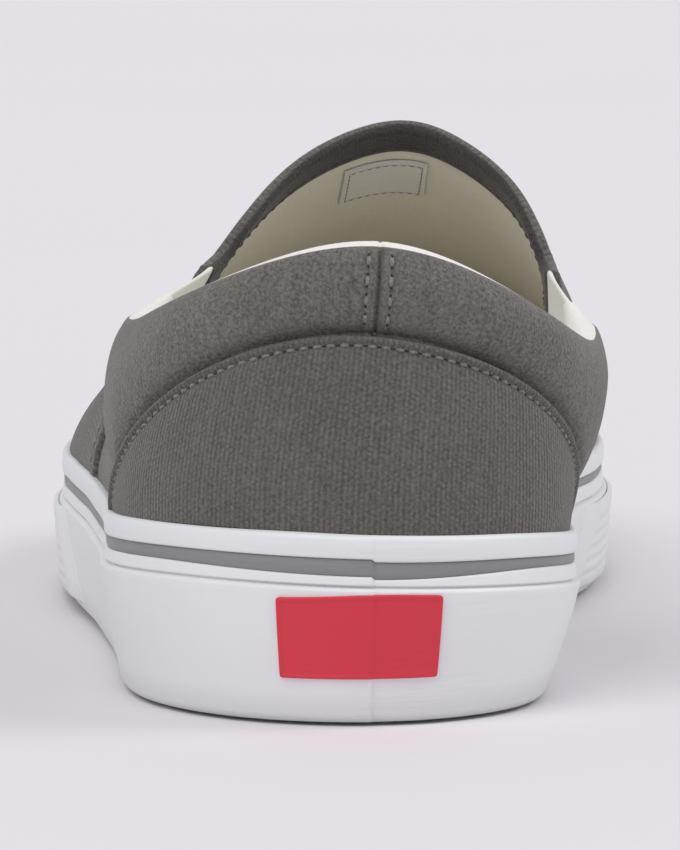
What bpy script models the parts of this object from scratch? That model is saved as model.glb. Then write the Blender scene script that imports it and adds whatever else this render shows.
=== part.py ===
"""A left slip-on canvas sneaker with a vulcanised rubber sole, built the way it is assembled.

Run it with blender --background --python part.py. Lengths are in metres. +Y runs from heel to toe,
+X to the medial side and +Z up. The finished shoe stands on z = 0 with its box centred on the origin.
"""

import math

import bmesh
import bpy
import numpy as np

# Driving sizes of the shoe
LENGTH = 0.2860
HEEL_WIDTH = 0.0820
BALL_WIDTH = 0.1045
COLLAR_WIDTH = 0.0760
COLLAR_HEIGHT = 0.0810
THROAT_HEIGHT = 0.0930
TOE_SPRING = 0.0090
ARCH_LIFT = 0.0010
CLEARANCE = 0.0003

# Rubber sidewall, called the foxing, and what is stuck on it
FOXING_HEIGHT = 0.0326
FOXING_WALL = 0.0030
FOXING_LIP = 0.0020
FOXING_TAPER = 0.0040
FOXING_FLOOR_GAP = 0.0006
FOXING_EDGE_RADIUS = 0.0016
TOP_BAND = 0.0040
STRIPE_HEIGHT = 0.0026
STRIPE_THICKNESS = 0.0006
STRIPE_RECESS = 0.0004
RIDGE_HEIGHT = 0.0017
BODY_STEP = 0.0006
BUMPER_THICKNESS = 0.0011
BUMPER_SLANT = 0.0220
LABEL_WIDTH = 0.0280
LABEL_HEIGHT = 0.0142
LABEL_THICKNESS = 0.0006
LABEL_BASE = 0.0082
LABEL_SHIFT = 0.0010

# Outsole and footbed
OUTSOLE_THICKNESS = 0.0055
OUTSOLE_CHAMFER = 0.0008
GROOVE_DEPTH = 0.0016
GROOVE_WIDTH = 0.0030
GROOVE_PITCH = 0.0150
TREAD_MARGIN = 0.0060
INSOLE_HEEL = 0.0080
INSOLE_FORE = 0.0045
INSOLE_EASE = 0.08

# Upper
CANVAS_WALL = 0.0020
VAMP_STEP = 0.0009
PAD_DEPTH = 0.0270
PAD_BULGE_OUT = 0.0036
PAD_BULGE_IN = 0.0024
EDGE_ROUND = 0.0008
COUNTER_THICKNESS = 0.0009
COUNTER_HEIGHT = 0.0319
COUNTER_REACH = 0.0780
COUNTER_SHIFT = 0.0030
COUNTER_PEAK = 0.0025
COUNTER_CURVE = 1.8
COUNTER_TIP = 0.0040
GORE_THICKNESS = 0.0011
GORE_RECESS = 0.0004
GORE_GAP = 0.0005
GORE_DEPTH = 0.0300
GORE_POINT = 0.15

# Mesh fineness
RING_STEPS = 72
STRAIGHTEST = 0.0800
LOWER_ROWS = 3
MIDDLE_ROWS = 7

# Sole outline at the top of the foxing, once round from the heel by the lateral side. Columns: share of
# LENGTH along, share across, and the named width that the share is of.
OUTLINE = (
    (0.000, 0.030, HEEL_WIDTH),
    (0.023, -0.232, HEEL_WIDTH),
    (0.104, -0.451, HEEL_WIDTH),
    (0.226, -0.506, HEEL_WIDTH),
    (0.389, -0.555, HEEL_WIDTH),
    (0.538, -0.494, BALL_WIDTH),
    (0.677, -0.511, BALL_WIDTH),
    (0.826, -0.435, BALL_WIDTH),
    (0.958, -0.218, BALL_WIDTH),
    (1.000, 0.060, BALL_WIDTH),
    (0.941, 0.350, BALL_WIDTH),
    (0.799, 0.482, BALL_WIDTH),
    (0.660, 0.488, BALL_WIDTH),
    (0.507, 0.417, BALL_WIDTH),
    (0.340, 0.482, HEEL_WIDTH),
    (0.174, 0.500, HEEL_WIDTH),
    (0.073, 0.439, HEEL_WIDTH),
    (0.006, 0.171, HEEL_WIDTH),
)
TOE_ROW = 9

# The foxing round the shoe. Columns: place, share of FOXING_HEIGHT, share of FOXING_TAPER.
FOXING_SHAPE = (
    (0.00, 1.000, 1.00),
    (0.05, 1.010, 1.00),
    (0.11, 0.945, 0.95),
    (0.20, 0.870, 0.60),
    (0.32, 0.850, 0.30),
    (0.42, 0.840, 0.50),
    (0.50, 0.870, 0.80),
    (0.58, 0.840, 0.50),
    (0.68, 0.850, 0.45),
    (0.80, 0.830, 1.10),
    (0.89, 0.860, 1.60),
    (0.95, 0.955, 1.35),
)

# Meridians of the upper, from the foxing to the top edge. Columns: place round the shoe, the top edge's
# share of COLLAR_WIDTH across, of LENGTH along and of its named height, that height, then the two handles
# as shares: rise and flare of the meridian's height at its foot, run of its plan length and drop of its
# height at its head.
MERIDIANS = (
    (0.000, 0.079, 0.028, 1.000, COLLAR_HEIGHT, 0.34, 0.010, 0.30, 0.34),
    (0.050, -0.255, 0.061, 0.918, COLLAR_HEIGHT, 0.34, 0.020, 0.30, 0.34),
    (0.100, -0.428, 0.153, 0.815, COLLAR_HEIGHT, 0.34, 0.030, 0.30, 0.33),
    (0.160, -0.445, 0.292, 0.795, COLLAR_HEIGHT, 0.34, 0.020, 0.30, 0.33),
    (0.212, -0.322, 0.408, 0.843, COLLAR_HEIGHT, 0.32, -0.010, 0.32, 0.33),
    (0.270, -0.258, 0.432, 0.786, THROAT_HEIGHT, 0.26, -0.040, 0.32, 0.40),
    (0.340, -0.164, 0.460, 0.880, THROAT_HEIGHT, 0.22, -0.060, 0.33, 0.50),
    (0.420, -0.030, 0.488, 0.960, THROAT_HEIGHT, 0.30, 0.000, 0.36, 0.64),
    (0.500, 0.145, 0.503, 1.000, THROAT_HEIGHT, 0.37, 0.030, 0.37, 0.68),
    (0.580, 0.300, 0.490, 0.962, THROAT_HEIGHT, 0.36, 0.030, 0.36, 0.62),
    (0.660, 0.430, 0.460, 0.870, THROAT_HEIGHT, 0.34, 0.030, 0.34, 0.48),
    (0.730, 0.490, 0.432, 0.770, THROAT_HEIGHT, 0.36, 0.030, 0.34, 0.38),
    (0.788, 0.518, 0.408, 0.830, COLLAR_HEIGHT, 0.36, 0.040, 0.32, 0.33),
    (0.840, 0.563, 0.292, 0.772, COLLAR_HEIGHT, 0.34, 0.040, 0.30, 0.33),
    (0.900, 0.539, 0.153, 0.769, COLLAR_HEIGHT, 0.34, 0.040, 0.30, 0.33),
    (0.950, 0.382, 0.061, 0.888, COLLAR_HEIGHT, 0.34, 0.020, 0.30, 0.34),
)
OUTWARD_PULL = 0.0150

# The padded collar's section. Columns: share of its depth below the top edge, share of the bulge.
PAD_SECTION = ((0.0, 0.22), (0.07, 0.60), (0.20, 0.86), (0.40, 1.00), (0.70, 0.60), (1.0, 0.0))

# Places round the shoe, as shares of the way round from the heel by the lateral side
LATERAL_GORE = (0.174, 0.212)
MEDIAL_GORE = (0.826, 0.788)
PAD_FADE = (0.150, 0.180)
LATERAL_BUMPER_END = 0.262
MEDIAL_BUMPER_END = 0.722
VAMP_EDGE_BLEND = 0.0012

# Colours of the materials: base colour, roughness
CANVAS = ("canvas", (0.105, 0.098, 0.090), 0.90)
ELASTIC = ("elastic", (0.060, 0.057, 0.054), 0.85)
WHITE_RUBBER = ("white_rubber", (0.80, 0.81, 0.83), 0.45)
GREY_RUBBER = ("grey_rubber", (0.24, 0.25, 0.26), 0.50)
RED_RUBBER = ("red_rubber", (0.62, 0.035, 0.055), 0.40)
SOLE_RUBBER = ("sole_rubber", (0.76, 0.76, 0.74), 0.60)
FOOTBED = ("footbed_cloth", (0.55, 0.52, 0.42), 0.90)


def periodic_cubic(knots, values):
    """The smooth closed curve through values at rising knots in 0 to 1, as a function of arrays."""
    knots = np.asarray(knots, float)
    values = np.asarray(values, float).reshape(len(knots), -1)
    count = len(knots)
    gaps = np.diff(np.append(knots, knots[0] + 1.0))
    rises = np.roll(values, -1, axis=0) - values
    system = np.zeros((count, count))
    target = np.zeros_like(values)
    for i in range(count):
        before, after = gaps[i - 1], gaps[i]
        system[i, i - 1] += after
        system[i, i] += 2 * (before + after)
        system[i, (i + 1) % count] += before
        target[i] = 3 * (after / before * rises[i - 1] + before / after * rises[i])
    slopes = np.linalg.solve(system, target)

    def at(place):
        place = np.mod(np.asarray(place, float) - knots[0], 1.0)
        starts = knots - knots[0]
        i = np.searchsorted(starts, place, side="right") - 1
        gap = gaps[i][..., None]
        s = (place - starts[i])[..., None] / gap
        j = (i + 1) % count
        return (
            values[i] * (1 + 2 * s) * (1 - s) ** 2
            + slopes[i] * gap * s * (1 - s) ** 2
            + values[j] * s**2 * (3 - 2 * s)
            + slopes[j] * gap * s**2 * (s - 1)
        )

    return at


def outline_knots(points):
    """Places round the shoe by chord length, with the heel at 0 and the toe row at one half."""
    steps = np.linalg.norm(np.roll(points, -1, axis=0) - points, axis=1)
    lateral, medial = steps[:TOE_ROW], steps[TOE_ROW:]
    first = np.concatenate([[0.0], np.cumsum(lateral)]) / lateral.sum() / 2
    second = 0.5 + np.cumsum(medial)[:-1] / medial.sum() / 2
    return np.concatenate([first, second])


OUTLINE_POINTS = np.array([(across * width, along * LENGTH) for along, across, width in OUTLINE])
outline_curve = periodic_cubic(outline_knots(OUTLINE_POINTS), OUTLINE_POINTS)
foxing_curve = periodic_cubic([row[0] for row in FOXING_SHAPE], [row[1:] for row in FOXING_SHAPE])
meridian_curve = periodic_cubic(
    [row[0] for row in MERIDIANS],
    [
        (across * COLLAR_WIDTH, along * LENGTH, share * height, rise, flare, run, drop)
        for _, across, along, share, height, rise, flare, run, drop in MERIDIANS
    ],
)


def ease(value):
    """0 below 0, 1 above 1 and a smooth step between."""
    value = np.clip(value, 0.0, 1.0)
    return value * value * (3 - 2 * value)


def outward(place):
    """Unit normal of the outline in plan, pointing out of the shoe."""
    step = 1e-4
    along = outline_curve(np.add(place, step)) - outline_curve(np.subtract(place, step))
    along = along / np.linalg.norm(along, axis=-1, keepdims=True)
    return np.stack([-along[..., 1], along[..., 0]], axis=-1)


def ground(y):
    """Height of the sole's underside: flat under heel and ball, lifted in the arch and at the toe."""
    share = np.asarray(y) / LENGTH
    arch = ARCH_LIFT * ease((share - 0.34) / 0.10) * ease((0.62 - share) / 0.10)
    spring = TOE_SPRING * np.clip((share - 0.76) / 0.24, 0.0, None) ** 2
    return arch + spring


def ring_point(place, inset, height):
    """A point inset from the outline, at a height above the sole's underside there."""
    plan = outline_curve(place) - outward(place) * np.asarray(inset)[..., None]
    z = ground(plan[..., 1]) + height
    return np.concatenate([plan, z[..., None]], axis=-1)


def foxing_top(place):
    """Height of the foxing's top edge above the sole's underside."""
    return foxing_curve(place)[..., 0] * FOXING_HEIGHT


def body_top(place):
    """Height of the top of the foxing's lower strip."""
    return foxing_top(place) - TOP_BAND - STRIPE_HEIGHT - 2 * CLEARANCE - RIDGE_HEIGHT


def taper(place, height):
    """How far the sidewall has drawn in at a height below the top of its lower strip."""
    top = body_top(place)
    full = foxing_curve(place)[..., 1] * FOXING_TAPER
    return full * np.clip((top - height) / top, 0.0, 1.0) ** 1.3


def sole_edge(place):
    """Inset of the outsole's side, which the foxing's foot overhangs."""
    return taper(place, 0.0) - BODY_STEP + FOXING_EDGE_RADIUS + FOXING_LIP


def inner_wall(place, height):
    """Inset of the foxing's inner side, which the upper follows."""
    low = taper(place, height) - BODY_STEP + FOXING_WALL
    lip = ease((height - body_top(place)) / TOP_BAND)
    return low * (1 - lip) + FOXING_LIP * lip


SIGNED_PLACES = np.linspace(-0.5, 0.5, 801)
HEEL_ARCS = np.concatenate(
    [[0.0], np.cumsum(np.linalg.norm(np.diff(outline_curve(np.mod(SIGNED_PLACES, 1.0)), axis=0), axis=1))]
)
HEEL_ARCS -= np.interp(0.0, SIGNED_PLACES, HEEL_ARCS)


def heel_arc(place):
    """Length of the outline from place 0, positive on the lateral side."""
    return np.interp(np.mod(np.add(place, 0.5), 1.0) - 0.5, SIGNED_PLACES, HEEL_ARCS)


def place_at_arc(arc):
    """The place at that length of the outline from place 0."""
    return np.mod(np.interp(arc, HEEL_ARCS, SIGNED_PLACES), 1.0)


def counter_arch(place):
    """Height of the heel counter's top edge above its foot."""
    arc = heel_arc(place) - COUNTER_PEAK
    lateral = COUNTER_REACH - COUNTER_SHIFT - COUNTER_PEAK
    medial = COUNTER_REACH + COUNTER_SHIFT + COUNTER_PEAK
    share = arc / np.where(arc > 0, lateral, medial)
    return COUNTER_HEIGHT * (1 - np.clip(abs(share), 0.0, 1.0) ** COUNTER_CURVE)


def ring_places():
    """Places round the shoe that all closed rings share, closer where the outline turns faster.

    Because the pieces' facets run side by side, the clearance between them stays even. There is a close
    pair at each end of the vamp, where the wall steps.
    """
    fine = np.linspace(0.0, 1.0, 1201)
    points = outline_curve(np.mod(fine, 1.0))
    normals = outward(np.mod(fine, 1.0))
    lengths = np.linalg.norm(np.diff(points, axis=0), axis=1)
    turns = np.linalg.norm(np.diff(normals, axis=0), axis=1)
    weight = np.sqrt((turns / lengths + 1 / STRAIGHTEST) * STRAIGHTEST) * lengths
    total = np.concatenate([[0.0], np.cumsum(weight)])
    even = np.interp(np.arange(RING_STEPS) / RING_STEPS * total[-1], total, fine)
    lateral, medial = LATERAL_GORE[1], MEDIAL_GORE[1]
    edges = [lateral, lateral + VAMP_EDGE_BLEND, medial - VAMP_EDGE_BLEND, medial]
    near = 0.4 / RING_STEPS
    return np.sort(np.array([p for p in even if min(abs(p - e) for e in edges) > near] + edges))


def remove_startup_objects():
    for thing in list(bpy.data.objects):
        bpy.data.objects.remove(thing)


def new_collection(name):
    collection = bpy.data.collections.new(name)
    bpy.context.scene.collection.children.link(collection)
    return collection


def material(look):
    name, colour, roughness = look
    made = bpy.data.materials.get(name)
    if made is None:
        made = bpy.data.materials.new(name)
        made.use_nodes = True
        shader = made.node_tree.nodes["Principled BSDF"]
        shader.inputs["Base Color"].default_value = (*colour, 1.0)
        shader.inputs["Roughness"].default_value = roughness
        shader.inputs["Metallic"].default_value = 0.0
    return made


def add_object(name, points, faces, look, collection):
    """A mesh object whose faces are made to point out."""
    mesh = bpy.data.meshes.new(name)
    mesh.from_pydata([tuple(p) for p in points], [], faces)
    shape = bmesh.new()
    shape.from_mesh(mesh)
    bmesh.ops.recalc_face_normals(shape, faces=shape.faces)
    shape.to_mesh(mesh)
    shape.free()
    mesh.shade_smooth()
    mesh.set_sharp_from_angle(angle=math.radians(40))
    made = bpy.data.objects.new(name, mesh)
    mesh.materials.append(material(look))
    collection.objects.link(made)
    return made


def strip_faces(columns, rows, closed):
    """Quads of a swept section: columns sections of rows points each, the section itself closed."""
    last = columns if closed else columns - 1
    faces = []
    for i in range(last):
        near, far = i * rows, (i + 1) % columns * rows
        for k in range(rows):
            nxt = (k + 1) % rows
            faces.append((near + k, near + nxt, far + nxt, far + k))
    return faces


def swept(name, sections, closed, look, collection):
    """A solid swept through closed sections, an array of columns by points by 3."""
    columns, rows = sections.shape[:2]
    faces = strip_faces(columns, rows, closed)
    if not closed:
        for start in (0, (columns - 1) * rows):
            for k in range(rows // 2 - 1):
                faces.append((start + k, start + k + 1, start + rows - 2 - k, start + rows - 1 - k))
    return add_object(name, sections.reshape(-1, 3), faces, look, collection)


def patch(name, grid, thickness, look, collection):
    """An open grid of points, columns by rows by 3, made solid towards its outer side."""
    columns, rows = grid.shape[:2]
    faces = [
        (i * rows + k, i * rows + k + 1, (i + 1) * rows + k + 1, (i + 1) * rows + k)
        for i in range(columns - 1)
        for k in range(rows - 1)
    ]
    mesh = bpy.data.meshes.new(name)
    mesh.from_pydata([tuple(p) for p in grid.reshape(-1, 3)], [], faces)
    mesh.materials.append(material(look))
    made = bpy.data.objects.new(name, mesh)
    collection.objects.link(made)
    solid = made.modifiers.new("thickness", "SOLIDIFY")
    solid.thickness = thickness
    solid.offset = 1.0
    solid.use_even_offset = True
    return made


def slab(name, rings, look, collection):
    """A solid through closed rings of equal count, capped by strips across the shoe."""
    count = rings.shape[1]
    faces = []
    for r in range(len(rings) - 1):
        near, far = r * count, (r + 1) * count
        for i in range(count):
            nxt = (i + 1) % count
            faces.append((near + i, near + nxt, far + nxt, far + i))
    for start in (0, (len(rings) - 1) * count):
        for i in range(count // 2):
            left, ahead = start + i, start + i + 1
            right, behind = start + (count - i) % count, start + count - i - 1
            corners = [left, ahead, behind, right]
            faces.append(tuple(dict.fromkeys(corners)))
    return add_object(name, rings.reshape(-1, 3), faces, look, collection)


def cut(target, cutter):
    """Cuts one solid with another, which stays as a hidden helper."""
    cutter.hide_render = True
    cutter.display_type = "WIRE"
    step = target.modifiers.new("cut_" + cutter.name, "BOOLEAN")
    step.operation = "DIFFERENCE"
    step.solver = "EXACT"
    step.object = cutter


def build_foxing(collection):
    """The white sidewall: top band, groove for the stripe, ridge and the lower strip that tapers in."""
    places = ring_places()
    top = foxing_top(places)
    body = body_top(places)
    groove_low = body + RIDGE_HEIGHT
    groove_high = top - TOP_BAND
    groove_floor = STRIPE_RECESS + STRIPE_THICKNESS + CLEARANCE
    floor = np.full_like(top, FOXING_FLOOR_GAP)
    shelf = np.full_like(top, OUTSOLE_THICKNESS + CLEARANCE)
    foot = sole_edge(places)

    def wall(height):
        return taper(places, height) - BODY_STEP

    inset_and_height = [
        (FOXING_LIP, top),
        (EDGE_ROUND, top),
        (0.0, top - EDGE_ROUND),
        (0.0, groove_high),
        (groove_floor, groove_high),
        (groove_floor, groove_low),
        (0.0, groove_low),
        (0.0, body),
        (-BODY_STEP, body - BODY_STEP),
        (wall(body * 0.62), body * 0.62),
        (wall(body * 0.30), body * 0.30),
        (wall(floor + FOXING_EDGE_RADIUS), floor + FOXING_EDGE_RADIUS),
        (foot - FOXING_LIP, floor),
        (foot, floor),
        (foot, shelf),
        (inner_wall(places, shelf + EDGE_ROUND), shelf + EDGE_ROUND),
        (inner_wall(places, body * 0.62), body * 0.62),
        (inner_wall(places, body), body),
        (inner_wall(places, groove_high), groove_high),
    ]
    sections = np.stack(
        [ring_point(places, np.broadcast_to(inset, top.shape), z) for inset, z in inset_and_height], axis=1
    )
    return swept("foxing", sections, True, WHITE_RUBBER, collection)


def build_stripe(collection):
    """The grey line that lies in the foxing's groove."""
    places = ring_places()
    high = foxing_top(places) - TOP_BAND - CLEARANCE
    low = high - STRIPE_HEIGHT
    outer = np.full_like(high, STRIPE_RECESS)
    inner = outer + STRIPE_THICKNESS
    corners = ((outer, high), (outer, low), (inner, low), (inner, high))
    sections = np.stack([ring_point(places, inset, z) for inset, z in corners], axis=1)
    return swept("foxing_stripe", sections, True, GREY_RUBBER, collection)


def build_bumper(collection):
    """The second strip round the toe, whose ends slant down and back."""
    columns = 46
    share = np.linspace(0.0, 1.0, columns)
    perimeter = 2 * np.linalg.norm(np.diff(outline_curve(np.linspace(0, 0.5, 200)), axis=0), axis=1).sum()
    slant = BUMPER_SLANT / perimeter
    sections = []
    for level in (1.0, 0.97, 0.66, 0.33, 0.06, 0.03, 0.03, 0.33, 0.66, 1.0):
        lean = slant * (1 - level)
        places = LATERAL_BUMPER_END - lean + (MEDIAL_BUMPER_END - LATERAL_BUMPER_END + 2 * lean) * share
        top = body_top(places)
        height = FOXING_EDGE_RADIUS + (top - BODY_STEP - FOXING_EDGE_RADIUS) * level
        sections.append((places, taper(places, height) - BODY_STEP - CLEARANCE, height))
    outer = [BUMPER_THICKNESS * edge for edge in (0.55, 1.0, 1.0, 1.0, 1.0, 0.55, 0.0, 0.0, 0.0, 0.0)]
    grid = np.stack([ring_point(p, d - extra, z) for (p, d, z), extra in zip(sections, outer)], axis=1)
    return swept("toe_bumper", grid, False, WHITE_RUBBER, collection)


def build_label(collection):
    """The plain patch on the back of the heel."""
    half = LABEL_WIDTH / 2
    back = outline_curve(0.0)
    step = 0.002
    per_place = np.linalg.norm(outline_curve(step) - back) / step
    columns = (np.linspace(-half, half, 11) - LABEL_SHIFT) / per_place
    heights = LABEL_BASE + LABEL_HEIGHT * np.linspace(0.0, 1.0, 5)
    places, z = np.meshgrid(np.mod(columns, 1.0), heights, indexing="ij")
    inset = taper(places, z) - BODY_STEP - CLEARANCE
    return patch("heel_label", ring_point(places, inset, z), LABEL_THICKNESS, RED_RUBBER, collection)


def build_outsole(collection, helpers):
    """The rubber sole: flat under heel and ball, with cross grooves between its main lugs."""
    places = ring_places()
    edge = sole_edge(places) + CLEARANCE
    rings = np.stack(
        [
            ring_point(places, inset, height)
            for inset, height in (
                (edge, OUTSOLE_THICKNESS),
                (edge, OUTSOLE_CHAMFER),
                (edge + OUTSOLE_CHAMFER, 0.0),
            )
        ]
    )
    sole = slab("outsole", rings, SOLE_RUBBER, collection)
    cut(sole, build_grooves(helpers))
    return sole


def build_grooves(helpers):
    """One helper with a bar across the sole for each groove, inside a plain margin."""
    margin = FOXING_TAPER + TREAD_MARGIN
    ring = outline_curve(np.linspace(0.0, 1.0, 400, endpoint=False))
    normals = outward(np.linspace(0.0, 1.0, 400, endpoint=False))
    inner = ring - normals * margin
    lateral, medial = inner[:200], inner[200:]
    shape = bmesh.new()
    count = int((LENGTH - 4 * margin) / GROOVE_PITCH)
    first = 2 * margin
    for i in range(count + 1):
        y = first + i * GROOVE_PITCH
        left = np.interp(y, lateral[:, 1], lateral[:, 0])
        right = np.interp(y, medial[::-1, 1], medial[::-1, 0])
        deep = float(ground(y)) + GROOVE_DEPTH
        made = bmesh.ops.create_cube(shape, size=1.0)
        corners = made["verts"]
        bmesh.ops.scale(shape, vec=(right - left, GROOVE_WIDTH, 2 * deep), verts=corners)
        bmesh.ops.translate(shape, vec=((left + right) / 2, y, 0.0), verts=corners)
    mesh = bpy.data.meshes.new("grooves")
    shape.to_mesh(mesh)
    shape.free()
    made = bpy.data.objects.new("grooves", mesh)
    helpers.objects.link(made)
    return made


def foot_of(place):
    """Where a meridian of the upper leaves the foxing."""
    height = foxing_top(place)
    inset = np.full_like(height, FOXING_LIP + CLEARANCE)
    return ring_point(place, inset, height)


def skin(place, share):
    """A point of the upper's outer form: share runs from the foxing to the top edge."""
    place, share = np.broadcast_arrays(np.asarray(place, float), np.asarray(share, float))
    foot = foot_of(place)
    row = meridian_curve(place)
    head = row[..., :3]
    rise, flare, run, drop = (row[..., k, None] for k in range(3, 7))
    tall = head[..., 2:] - foot[..., 2:]
    normal = outward(place)
    away = foot[..., :2] - head[..., :2]
    length = np.linalg.norm(away, axis=-1, keepdims=True)
    lean = away + normal * OUTWARD_PULL
    lean = lean / np.linalg.norm(lean, axis=-1, keepdims=True)
    low = np.concatenate([foot[..., :2] + normal * flare * tall, foot[..., 2:] + rise * tall], axis=-1)
    high = np.concatenate([head[..., :2] + lean * run * length, head[..., 2:] - drop * tall], axis=-1)
    s = share[..., None]
    return foot * (1 - s) ** 3 + 3 * low * s * (1 - s) ** 2 + 3 * high * s**2 * (1 - s) + head * s**3


def skin_normal(place, share):
    """Unit normal of the upper's outer form, pointing out of the shoe."""
    step = 1e-3
    above, below = np.minimum(np.add(share, step), 1.0), np.maximum(np.subtract(share, step), 0.0)
    up = skin(place, above) - skin(place, below)
    round_ = skin(np.add(place, step), share) - skin(np.subtract(place, step), share)
    normal = np.cross(up, round_)
    return normal / np.linalg.norm(normal, axis=-1, keepdims=True)


def share_at_depth(place, depth):
    """Where on a meridian a point lies that far below the top edge, measured along the meridian."""
    shares = np.linspace(0.0, 1.0, 121)
    points = skin(np.full_like(shares, place), shares)
    steps = np.linalg.norm(np.diff(points, axis=0), axis=1)
    below = np.concatenate([np.cumsum(steps[::-1])[::-1], [0.0]])
    return np.interp(-np.asarray(depth), -below, shares)


def share_at_height(place, height):
    """Where on a meridian a point lies at that height."""
    shares = np.linspace(0.0, 1.0, 121)
    points = skin(np.full_like(shares, place), shares)
    return np.interp(height, points[:, 2], shares)


def from_heel(place):
    """Distance round the shoe from the heel, as a share of the way round, on either side."""
    place = np.mod(place, 1.0)
    return np.minimum(place, 1.0 - place)


def pad_depth(place):
    """How far down from the top edge the padding reaches: to the counter's edge, or less."""
    top = meridian_curve(place)[..., 2]
    edge = foot_of(place)[..., 2] + EDGE_ROUND + counter_arch(place) + 2 * CLEARANCE
    return np.minimum(top - edge, PAD_DEPTH)


def padding(place, depth):
    """Share of the collar's bulge: full round the heel, none from the gores forward."""
    share = np.asarray(depth) / pad_depth(place)
    section = np.interp(share, [row[0] for row in PAD_SECTION], [row[1] for row in PAD_SECTION])
    return section * (1 - ease((from_heel(place) - PAD_FADE[0]) / (PAD_FADE[1] - PAD_FADE[0])))


def on_vamp(place):
    """1 on the vamp, 0 on the quarters, with a sharp edge between."""
    lateral = ease((place - LATERAL_GORE[1]) / VAMP_EDGE_BLEND)
    medial = ease((MEDIAL_GORE[1] - place) / VAMP_EDGE_BLEND)
    return lateral * medial


def build_upper(collection, helpers):
    """The canvas upper: vamp, quarters and padded collar as one hollow solid, open above and below."""
    pad_shares = np.array([row[0] for row in PAD_SECTION])
    foot_height = OUTSOLE_THICKNESS + 2 * CLEARANCE + EDGE_ROUND
    sections = []
    for place in ring_places():
        pad_depths = float(pad_depth(place)) * pad_shares
        head_shares = share_at_depth(place, pad_depths)
        middle = np.linspace(0.0, 1.0, MIDDLE_ROWS + 1)[:-1] * head_shares[-1]
        shares = np.concatenate([middle, head_shares[::-1]])
        depths = np.concatenate([np.full(len(middle), pad_depths[-1]), pad_depths[::-1]])
        here = np.full_like(shares, place)
        bulge = padding(here, depths)
        step = VAMP_STEP * on_vamp(here) * ease(shares / 0.03)
        edge = 1 - 0.5 * np.clip(1 - depths / EDGE_ROUND, 0.0, 1.0)
        points = skin(here, shares)
        normals = skin_normal(here, shares)
        outer = points + normals * (step * edge + PAD_BULGE_OUT * bulge)[:, None]
        inner = points - normals * (CANVAS_WALL * edge + PAD_BULGE_IN * bulge)[:, None]
        top = float(foxing_top(place))
        heights = foot_height + (top - foot_height) * np.arange(LOWER_ROWS) / LOWER_ROWS
        low = np.full(LOWER_ROWS, place)
        inset = inner_wall(low, heights) + CLEARANCE
        low_outer = ring_point(low, inset, heights)
        low_inner = ring_point(low, inset + CANVAS_WALL, heights)
        sections.append(np.concatenate([low_outer, outer, inner[::-1], low_inner[::-1]]))
    upper = swept("upper", np.stack(sections), True, CANVAS, collection)
    for name, gore in (("lateral", LATERAL_GORE), ("medial", MEDIAL_GORE)):
        cut(upper, build_gore_cutter(name + "_gore_notch", gore, helpers))
    return upper


def gore_grid(gore, gap, columns=5, rows=7):
    """Points and normals over a gore: a wedge with its point down, one side on the vamp's edge.

    The gap is taken off each side and off the point. Columns run round the shoe, rows run up.
    """
    quarter_side, vamp_side = gore
    reach = vamp_side - quarter_side
    places = []
    shares = []
    for level in np.linspace(0.0, 1.0, rows):
        depth = (GORE_DEPTH - gap) * (1 - level)
        near = skin(vamp_side, share_at_depth(vamp_side, depth))
        inside = vamp_side - 0.1 * reach
        margin = 0.1 * reach * gap / np.linalg.norm(skin(inside, share_at_depth(inside, depth)) - near)
        width = GORE_POINT + (1 - GORE_POINT) * ease(level)
        across = np.linspace(vamp_side - reach * width + margin, vamp_side - margin, columns)
        places.append(across)
        shares.append([share_at_depth(place, depth) for place in across])
    places = np.array(places).T
    shares = np.array(shares, float).T
    return skin(places, shares), skin_normal(places, shares)


def build_gore_cutter(name, gore, helpers):
    """The notch that a gore fills, cut right through the upper's wall."""
    points, normals = gore_grid(gore, 0.0)
    outer = points + normals * (4 * CANVAS_WALL)
    inner = points - normals * (4 * CANVAS_WALL)
    beyond = points[:, -1] - points[:, -2]
    outer = np.concatenate([outer, (outer[:, -1] + beyond)[:, None]], axis=1)
    inner = np.concatenate([inner, (inner[:, -1] + beyond)[:, None]], axis=1)
    sections = np.concatenate([outer, inner[:, ::-1]], axis=1)
    return swept(name, sections, False, ELASTIC, helpers)


def build_gore(name, gore, collection):
    """An elastic insert in its notch, a little behind the canvas."""
    points, normals = gore_grid(gore, GORE_GAP)
    front = points - normals * GORE_RECESS
    back = front - normals * GORE_THICKNESS
    return swept(name, np.concatenate([front, back[:, ::-1]], axis=1), False, ELASTIC, collection)


def build_counter(collection):
    """The half-round overlay on the heel, from the foxing up to its arched top edge."""
    first = -COUNTER_REACH - COUNTER_SHIFT
    last = COUNTER_REACH - COUNTER_SHIFT
    arcs = np.sort(heel_arc(ring_places()))
    arcs = arcs[(arcs > first + COUNTER_TIP) & (arcs < last - COUNTER_TIP)]
    grid = []
    for place in place_at_arc(np.concatenate([[first + COUNTER_TIP / 2], arcs, [last - COUNTER_TIP / 2]])):
        foot = foot_of(place)[..., 2] + EDGE_ROUND
        low = share_at_height(place, foot)
        high = share_at_height(place, foot + counter_arch(place))
        shares = np.linspace(low, high, 6)
        here = np.full_like(shares, place)
        grid.append(skin(here, shares) + skin_normal(here, shares) * CLEARANCE)
    return patch("heel_counter", np.stack(grid), COUNTER_THICKNESS, CANVAS, collection)


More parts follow.
